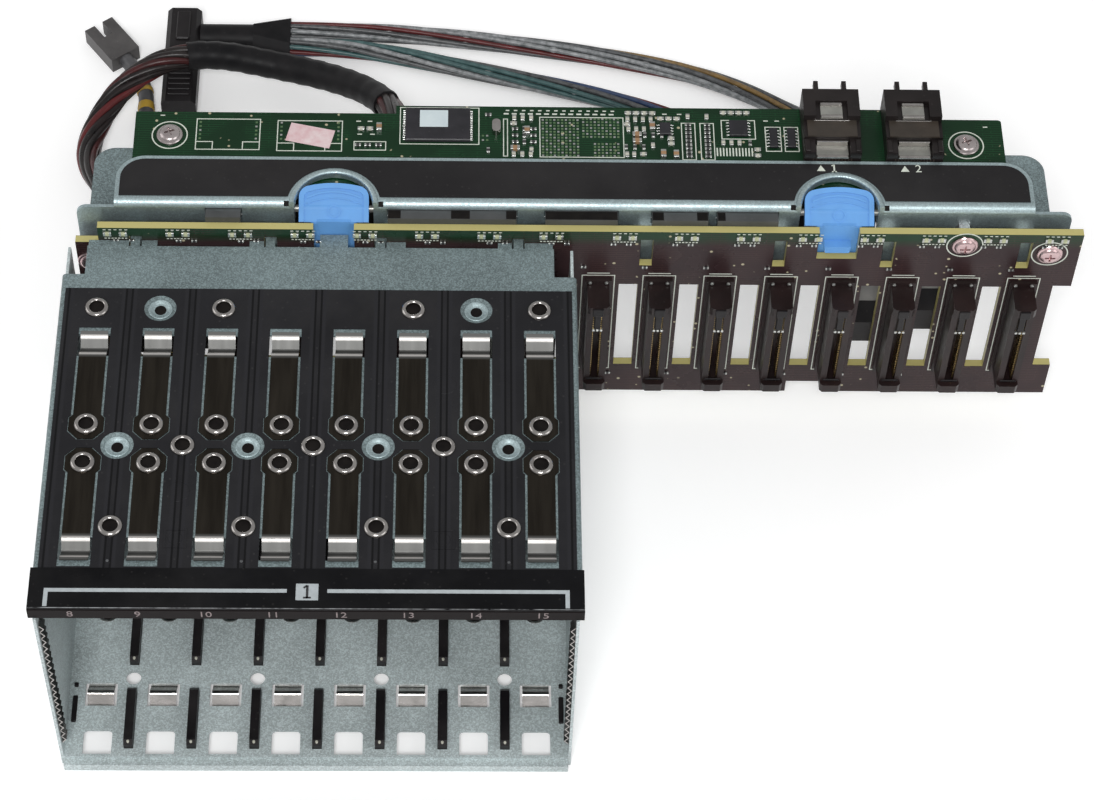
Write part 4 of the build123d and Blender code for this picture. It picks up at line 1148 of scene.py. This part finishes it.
class CAGE_OT_cover_details(bpy.types.Operator):
    """Prints the front band and adds the marks and bowls of the cover and the small parts of the floor."""

    bl_idname = "cage.cover_details"
    bl_label = "Cover details"

    def execute(self, context):
        self.band_print()
        numbers = [words(str(i + FIRST_NUMBER), sizes().number_size,
                         facing_front(slot_x(i), BAND_FRONT - 0.02, 77.7), "print_faint") for i in range(BAYS)]
        dress(joined(numbers), "bay_numbers")
        self.film_marks()
        bowl = turned([(3.3, -0.85), (3.3, -0.3), (3.15, -0.22), (2.95, -0.26), (2.3, -0.6), (1.9, -0.82),
                       (1.62, -0.85), (1.6, -1.4)], 36)
        # The bowl takes the lighter zinc copy that paints its highlights, and its hole is painted dark as
        # shade.
        bored(bowl, "zinc_bright_painted_highlight", "painted_shade", 1.61)
        dishes = [(i, REAR_ROW) for i in (1, 6)] + [(i, MIDDLE_ROW) for i in ODD_GAPS]
        dress(copies(bowl, [at(slot_x(i), y, COVER_TOP) for i, y in dishes]), "dish_bowls")
        tab = slab((-0.7, 0, FLOOR_TOP - 0.05), (0.7, 8.4, FLOOR_TOP + 0.8), 0.25)
        stub = slab((-0.6, 11.2, FLOOR_TOP - 0.05), (0.6, 12.6, FLOOR_TOP + 0.8), 0.25)
        tabs = copies(painted(joined([tab, stub]), "black_plastic"), [at(x, 10.6, 0) for x in (-67.6, 67.6)])
        dress(tabs, "floor_side_tabs")
        pip = painted(turned([(0.4, -0.4), (0.4, 0.1), (0.34, 0.28), (0.16, 0.36)], 12), "part_white")
        ends = [at(slot_x(i + 0.5), y, RAIL_TOP) for i in range(BAYS - 1) for y in RAIL_PIPS]
        dress(copies(pip, ends), "rail_pips")
        return {"FINISHED"}

    def band_print(self):
        """The line with its two ticks, and a plain 1 on a pale field."""
        half = sizes().print_line / MM / 2
        line_y, tick_low = 6.4, 1.5
        left, right, gap = -67.4, 67.5, 5.2
        boxes = ((left, -gap, line_y - half, line_y + half), (gap, right, line_y - half, line_y + half),
                 (left, left + 2 * half, tick_low, line_y - half),
                 (right - 2 * half, right, tick_low, line_y - half))
        pieces = [strip(*box, BAND_TOP) for box in boxes]
        pieces.append(slab((-2.9, 3.6, BAND_TOP - 0.02), (2.9, 8.6, BAND_TOP + 0.06), 0.035))
        pieces = [painted(piece, "print_ink") for piece in pieces]
        pieces.append(numeral_one(4.0, at(0, 6.1, BAND_TOP + 0.05), "print_dark"))
        dress(joined(pieces), "band_print")

    def film_marks(self):
        """Pressed rings, frames, studs and dimples that show through the film."""
        dent = turned([(3.1, 0), (3.0, 0.1), (2.5, 0.16), (2.1, 0.1), (1.2, 0.04), (0.9, 0.1), (0.5, 0.12)], 32)
        dents = copies(dent, [at(34.9, 72.3, FILM_TOP), at(-34.9, 37.1, FILM_TOP)])
        frames = [outline(x - 3.0, x + 3.0, 19.6, 25.6, FILM_TOP, 0.5, 0.14) for x in (-34.8, 34.8)]
        studs = copies(turned([(1.9, 0), (1.8, 0.12), (1.3, 0.14), (0.9, 0.05)], 24),
                       [at(x, 22.6, FILM_TOP) for x in (-34.8, 34.8)])
        pieces = [painted(piece, "cover_film") for piece in (dents, *frames, studs)]
        dimple = turned([(1.0, 0), (0.9, 0.1), (0.6, 0.12), (0.4, 0.03)], 18)
        bored(dimple, "cover_film", "wire_grey", 0.45)
        pieces.append(copies(dimple, [at(slot_x(i), 15.6, FILM_TOP) for i in ODD_GAPS]))
        dress(joined(pieces), "cover_marks")


class CAGE_OT_backplane_details(bpy.types.Operator):
    """Adds print, lights, small parts and connector marks to the backplane, and dark slabs of painted shade
    over the bridge gaps behind it.
    """

    bl_idname = "cage.backplane_details"
    bl_label = "Backplane details"

    def execute(self, context):
        line = sizes().silk_line / MM
        frame_print = [outline(-4.75, 4.75, -22.3, 22.3, 0, line),
                       strip(-3.2, 3.2, 23.0, 23.3, 0), strip(-1.6, 1.6, -23.6, -23.3, 0)]
        slots = [facing_front(slot_x(i), BOARD_FRONT, 42.75) for i in range(SLOTS)]
        lights = [facing_front(light_x(i), BOARD_FRONT, LIGHT_HEIGHT) for i in range(SLOTS)]
        dashes = [strip(-3.1 + 0.95 * i, -2.5 + 0.95 * i, -2.3, -1.95, 0) for i in range(7)]
        dashes += [strip(-3.3 + 1.5 * i, -2.5 + 1.5 * i, 1.45, 1.75, 0) for i in range(5)]
        rings = copies(ring(5.2, 4.85, PRINT), [facing_front(x, BOARD_FRONT, z) for x, z in BOARD_SCREWS[1:]])
        pieces = [copies(joined(frame_print), slots), copies(joined(dashes), lights), rings]
        dress(painted(joined(pieces), "silk_white"), "backplane_print")
        lens = painted(turned([(0.6, 0.5), (0.55, 0.7), (0.3, 0.8)], 14), "light_cream")
        light = joined([passive(2.3, 1.5, 0.55, "light_cream"), lens])
        pairs = [place @ at(way * 2.2, 0, 0) for place in lights for way in (-1, 1)]
        dress(copies(light, pairs), "slot_lights_soldered", instead_of="slot_lights")
        self.connector_marks()
        spots = [(3.6, 79.4), (7.9, 79.4), (-4.4, 69.0), (4.4, 18.6)]
        parts = copies(passive(1.6, 0.8, 0.55, "part_dark"),
                       [facing_front(slot_x(i) + x, BOARD_FRONT, z) for i in range(SLOTS) for x, z in spots])
        dress(parts, "backplane_parts")
        # Painted shade: dark slabs laid over the gaps of the bridge connectors.
        gaps = [slab((x0, 124.0, BRIDGE_TOP - 0.05), (x1, 126.8, BRIDGE_TOP + 0.12), 0.05)
                for x0, x1 in BRIDGE_GAPS]
        dress(painted(joined(gaps), "painted_shade"), "bridge_gap_shade")
        return {"FINISHED"}

    def connector_marks(self):
        """The key block, the spring clip and the two pegs at the upper end of each drive connector."""
        face, post = BOARD_FRONT - 8.4, BOARD_FRONT - 10.0
        key = slab((-1.5, post - 0.5, 59.2), (1.5, post + 0.1, 62.2), 0.18, 2)
        tongue = slab((-0.9, face - 0.6, 51.4), (0.9, face + 0.1, 58.8), 0.2, 2)
        ends = [slab((-2.4, face - 0.3, z), (2.4, face + 0.1, z + 0.7), 0.12) for z in (23.6, 26.6)]
        dark = painted(joined([key, tongue, *ends]), "black_plastic")
        clip = [slab((-1.5 + 1.1 * i, face - 0.75, 50.4), (-0.7 + 1.1 * i, face + 0.1, 51.2), 0.12)
                for i in range(3)]
        pegs = copies(turned([(0.55, 0), (0.5, 0.35), (0.3, 0.5)], 12),
                      [facing_front(x, BOARD_FRONT - 1.4, 63.3) for x in (-2.3, 2.3)])
        bright = painted(joined([*clip, pegs]), "solder")
        made = copies(joined([dark, bright]), [at(slot_x(i), 0, 0) for i in range(SLOTS)])
        dress(made, "connector_marks")


class CAGE_OT_expander_details(bpy.types.Operator):
    """Adds print, chips, small parts, pads and labels to the expander board."""

    bl_idname = "cage.expander_details"
    bl_label = "Expander details"

    def execute(self, context):
        self.board_print(EXPANDER_TOP)
        self.small_parts(EXPANDER_TOP)
        self.pads(EXPANDER_TOP)
        self.chips(EXPANDER_TOP)
        label = slab((-6.4, -3.4, 0), (6.4, 3.4, 0.12), 0.05)
        label.data.transform(at(-3.9, 153.5, EXPANDER_TOP, -13))
        mark = slab((27.0, 156.2, CHIP_TOP), (35.0, 162.4, CHIP_TOP + 0.1), 0.04)
        dress(joined([painted(label, "label_pink"), painted(mark, "label_white")]), "bare_labels")
        return {"FINISHED"}

    def board_print(self, top):
        """Outlines of chips, the feet of the two empty ones, dashes, and rings round the screws."""
        line = sizes().silk_line / MM
        empty = [(-36.2, -18.0, 148.0, 159.5), (-13.3, 5.2, 147.7, 159.1)]
        boxes = empty + [
            (21.3, 43.9, 150.6, 164.4), (50.6, 52.0, 146.4, 160.4), (60.9, 84.9, 146.2, 161.2),
            (101.2, 105.3, 145.6, 159.4), (106.5, 110.6, 145.6, 159.4), (112.6, 122.4, 153.4, 160.6),
            (125.0, 129.6, 149.0, 158.2), (130.4, 134.6, 149.0, 158.2), (8.4, 17.6, 148.2, 151.6)]
        pieces = [outline(*box, top, line) for box in boxes]
        width, height = 5.0, 3.1
        strips = []
        for x0, x1, y0, _ in empty:
            strips += [(x0 + line, x0 + width, y0 + height - line, y0 + height),
                       (x0 + width - line, x0 + width, y0 + line, y0 + height - line),
                       (x1 - width, x1 - line, y0 + height - line, y0 + height),
                       (x1 - width, x1 - width + line, y0 + line, y0 + height - line)]
        strips += [(50.8 + 2.3 * i, 52.2 + 2.3 * i, 162.0, 162.5) for i in range(14)]
        strips += [(51.4 + 2.3 * i, 52.4 + 2.3 * i, 163.3, 163.7) for i in range(14)]
        strips += [(111.0 + 0.9 * i, 111.4 + 0.9 * i, 147.2, 150.2) for i in range(12)]
        dashes = ((-46.5, 160.4), (9.0, 158.8), (12.2, 158.8), (9.4, 154.0), (13.0, 154.0), (124.8, 160.2),
                  (128.0, 160.2), (187.5, 158.6), (96.0, 162.4), (100.2, 162.4))
        strips += [(x, x + 1.3, y, y + 0.35) for x, y in dashes]
        pieces += [strip(*box, top) for box in strips]
        pieces.append(copies(ring(5.1, 4.75, PRINT), [at(x, y, top) for x, y in EXPANDER_SCREWS]))
        dress(painted(joined(pieces), "silk_white"), "expander_print")

    def small_parts(self, top):
        """Capacitors and resistors in their groups: single places, then rows of a start, a step and a count."""
        tan = [(95.9, 147.4, 90), (99.5, 147.2, 90), (88.6, 152.0, 0), (88.6, 154.4, 0), (93.0, 157.6, 90),
               (15.5, 156.4, 90), (54.0, 149.0, 0), (57.4, 155.6, 90)]
        white = [(85.6, 147.2, 90), (87.6, 147.2, 90), (90.2, 147.4, 0), (93.0, 150.6, 90), (98.2, 151.4, 0),
                 (98.2, 153.2, 0), (85.8, 158.4, 0), (58.6, 148.6, 90), (53.6, 158.4, 0), (10.4, 156.0, 0),
                 (12.9, 156.0, 0), (122.6, 147.2, 0), (122.6, 149.4, 0)]
        white_rows = ((53.6, 147.0, 90, 2.4, 3), (53.8, 160.4, 90, 2.4, 3), (86.2, 162.6, 0, 2.3, 4),
                      (86.0, 160.2, 90, 2.2, 4), (113.4, 163.0, 0, 2.2, 4), (113.0, 151.8, 90, 2.3, 3),
                      (103.2, 161.4, 90, 5.4, 2), (86.2, 156.6, 90, 2.2, 3), (95.4, 160.6, 0, 2.3, 3))
        dark = [(9.6, 150.0, 0), (12.4, 150.0, 0), (15.4, 150.0, 0), (46.4, 148.4, 90), (46.4, 161.6, 0),
                (120.6, 151.8, 90)]
        dark += [(54.0 + 2.6 * i, 151.6 + 2.4 * j, 90 * (i % 2)) for i in range(3) for j in range(3)]
        dark += [(x, 146.8 + 1.45 * j, 0) for x in (103.2, 108.6) for j in range(9)]
        dark_rows = ((85.4, 150.0, 90, 2.5, 3), (90.8, 154.4, 90, 2.4, 4))
        for spots, rows in ((white, white_rows), (dark, dark_rows)):
            spots += [(x + step * i, y, turn) for x, y, turn, step, count in rows for i in range(count)]
        groups = ((passive(2.6, 1.5, 1.2, "part_tan"), tan), (passive(1.9, 1.1, 0.7, "part_white"), white),
                  (passive(1.8, 0.95, 0.6, "part_dark"), dark))
        made = [copies(part, [at(x, y, top, turn) for x, y, turn in spots]) for part, spots in groups]
        dress(joined(made), "expander_parts")

    def pads(self, top):
        """Fields of bare pads, and the pads at the ends of the empty outlines. Every third is bright."""
        fields = ((61.9, 146.9, 10, 13), (73.4, 153.9, 10, 7), (76.6, 146.9, 7, 5))
        spots = [(x + 1.1 * i, y + 1.1 * j) for x, y, wide, deep in fields
                 for i in range(wide) for j in range(deep)]
        spots += [(x, 152.2 + 1.5 * j) for x in (-35.0, -19.2, -12.1, 4.0) for j in range(5)]
        spots += [(44.9 + 1.2 * i, 152.4 + 1.6 * j) for i in range(2) for j in range(2)]
        spots = [at(x, y, top) for x, y in spots]
        others = [spot for i, spot in enumerate(spots) if i % 3]
        made = [copies(painted(strip(-half, half, -half, half, 0, 0.04), material), places)
                for half, material, places in ((0.3, "solder", spots[::3]), (0.32, "pad_dark", others))]
        dress(joined(made), "expander_pads")

    def chips(self, top):
        """Small chips, and the legs of the memory chip."""
        made = [copies(small_chip(5.2, 5.6, 5), [at(117.5, 157.0, top)]),
                copies(small_chip(2.3, 7.0, 6), [at(127.3, 153.6, top), at(132.4, 153.6, top)]),
                copies(small_chip(3.0, 4.2, 4), [at(96.6, 156.6, top), at(137.6, 161.4, top, 90)])]
        leg = slab((0, -0.17, 0), (0.8, 0.17, 0.35), 0.06)
        low, high = (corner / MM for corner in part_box("memory_chip"))
        places, legs, inset = [], 17, 0.7
        for i in range(legs):
            y = low.y + inset + i * (high.y - low.y - 2 * inset) / (legs - 1)
            places += [at(high.x - 0.1, y, top), at(low.x + 0.1, y, top, 180)]
        made.append(painted(copies(leg, places), "solder"))
        dress(joined(made), "expander_chips")


class CAGE_OT_port_details(bpy.types.Operator):
    """Adds pin combs, edges and trims to the two ports, and the marks on the shelf in front of them."""

    bl_idname = "cage.port_details"
    bl_label = "Port details"

    def execute(self, context):
        front, step, top = 144.56, 155.36, EXPANDER_TOP
        rib = slab((-0.24, front - 0.02, top + 0.2), (0.24, front + 0.9, top + 2.5), 0.08)
        ribs = copies(painted(rib, "port_plate"),
                      [at(x - 5.4 + 0.9 * i, 0, 0) for x in PORTS for i in range(13)])
        # Lip, back, line, leaf and tip: half width, Y from the front or the step, Z span, bevel and segments
        metal = ((4.5, front, -0.1, 0.9, 2.55, 3.15, 0.22, 2), (4.5, front, 4.2, 5.0, 2.9, 4.9, 0.2, 2),
                 (5.1, step, -0.35, -0.05, 6.45, 6.75, 0.08, 1), (3.1, step, 0.1, 1.0, 7.3, 7.8, 0.2, 2),
                 (3.1, step, 4.4, 5.5, 7.3, 7.95, 0.2, 2))
        metal = [slab((-half, y + y0, top + z0), (half, y + y1, top + z1), bevel, segments)
                 for half, y, y0, y1, z0, z1, bevel, segments in metal]
        walls = [slab((x0, front + 0.3, top + 5.1), (x0 + 1.4, front + 4.6, top + 5.6), 0.15)
                 for x0 in (-7.8, 6.4)]
        trims = joined([painted(joined(metal), "bright_nickel"), painted(joined(walls), "port_plastic")])
        trims = copies(trims, [at(x, 0, 0) for x in PORTS])
        dress(joined([ribs, trims]), "port_trims")
        mark_y, mark_radius, number_height = 141.2, 1.4, 2.8
        marks = [raised(disc(mark_radius, 3, (x, mark_y - 0.3, SHELF_TOP)), PRINT) for x in (139.9, 163.6)]
        marks = [painted(joined(marks), "silk_white"),
                 numeral_one(number_height, at(143.6, mark_y, SHELF_TOP), "silk_white"),
                 words("2", number_height * 1.35 * MM, at(167.4, mark_y, SHELF_TOP + 0.03), "silk_white")]
        dress(joined(marks), "shelf_marks")
        return {"FINISHED"}


class CAGE_OT_latch_marks(bpy.types.Operator):
    """Adds ring, grip ledges and stem cheeks to each latch, and a dark back plate and dark foot slots of
    painted shade to its scoop.
    """

    bl_idname = "cage.latch_marks"
    bl_label = "Latch marks"

    def execute(self, context):
        for side, x in LATCHES.items():
            dot = ring(1.8, 1.4, 0.32, 36)
            dot.data.transform(shift(0, 3.0, -0.02))
            piece = joined([dot, *self.ledges()])
            piece.data.transform(shift(x, STEM_FRONT, 84.6) @ tipped(32) @ shift(0, 0, -0.5))
            cheeks = [slab((x0, STEM_FRONT + 0.15, 70.5), (x0 + 3.4, STEM_FRONT + 2.0, 84.0), 0.3, 2)
                      for x0 in (x - 6.4, x + 3.0)]
            piece = painted(joined([piece, *cheeks]), "latch_blue")
            dress(piece, f"latch_marks_{side}", body=f"latch_{side}")
        # Painted shade: a dark plate behind each latch, where the view past the paddle finds only shade.
        shade_backs = [slab((x - 12.0, EAR_BACK, 70.0), (x + 12.0, EAR_BACK + 0.6, 85.5), 0.1)
                 for x in LATCHES.values()]
        dress(painted(joined(shade_backs), "painted_shade"), "scoop_shade_backs")
        # Painted shade: dark slots lying on the bracket fold at the feet of each scoop.
        foot_slot_shade = painted(slab((-0.7, -0.75, -0.3), (0.7, 0.75, 0.12), 0.08), "painted_shade")
        feet = [shift(x + way * 13.1, 127.55, 88.41) @ tipped(45)
                for x in LATCHES.values() for way in (-1, 1)]
        dress(copies(foot_slot_shade, feet), "scoop_slot_shades")
        return {"FINISHED"}

    def ledges(self):
        """Two curved grip ledges, cut from rings."""
        radius, half = 18.0, 7.5
        made = []
        for crest, width, height in ((8.7, 0.5, 0.42), (6.9, 0.3, 0.34)):
            arc = ring(radius, radius - width, height, 128)
            arc = trimmed(arc, (half, 0, 0), (1, 0, 0))
            arc = trimmed(arc, (-half, 0, 0), (-1, 0, 0))
            arc = trimmed(arc, (0, 2, 0), (0, -1, 0))
            arc.data.transform(shift(0, crest - radius, -0.02))
            made.append(arc)
        return made


STEPS = ("stage", "finishes", "cables", "rivets", "screws", "cover_details", "backplane_details",
         "expander_details", "port_details", "latch_marks")


class CAGE_PT_panel(bpy.types.Panel):
    """Lists the colours, the sizes and the steps of the drive cage."""

    bl_idname = "CAGE_PT_panel"
    bl_label = "Drive Cage"
    bl_space_type = "VIEW_3D"
    bl_region_type = "UI"
    bl_category = "Drive Cage"

    def draw(self, context):
        layout = self.layout
        for group in (context.scene.cage_colours, context.scene.cage_sizes):
            box = layout.box()
            for name in group.bl_rna.properties.keys():
                if name not in ("rna_type", "name"):
                    box.prop(group, name)
        for step in STEPS:
            layout.operator(f"cage.{step}")


CLASSES = (CageColours, CageSizes, CAGE_OT_stage, CAGE_OT_finishes, CAGE_OT_cables, CAGE_OT_rivets,
           CAGE_OT_screws, CAGE_OT_cover_details, CAGE_OT_backplane_details, CAGE_OT_expander_details,
           CAGE_OT_port_details, CAGE_OT_latch_marks, CAGE_PT_panel)


def register():
    """Registers the classes and the two groups of settings."""
    for made in CLASSES:
        bpy.utils.register_class(made)
    bpy.types.Scene.cage_colours = PointerProperty(type=CageColours)
    bpy.types.Scene.cage_sizes = PointerProperty(type=CageSizes)


def unregister():
    """Takes away what register added."""
    del bpy.types.Scene.cage_sizes
    del bpy.types.Scene.cage_colours
    for made in reversed(CLASSES):
        bpy.utils.unregister_class(made)


def main():
    """Runs the steps in order."""
    register()
    for step in STEPS:
        getattr(bpy.ops.cage, step)()


if __name__ == "__main__":
    main()
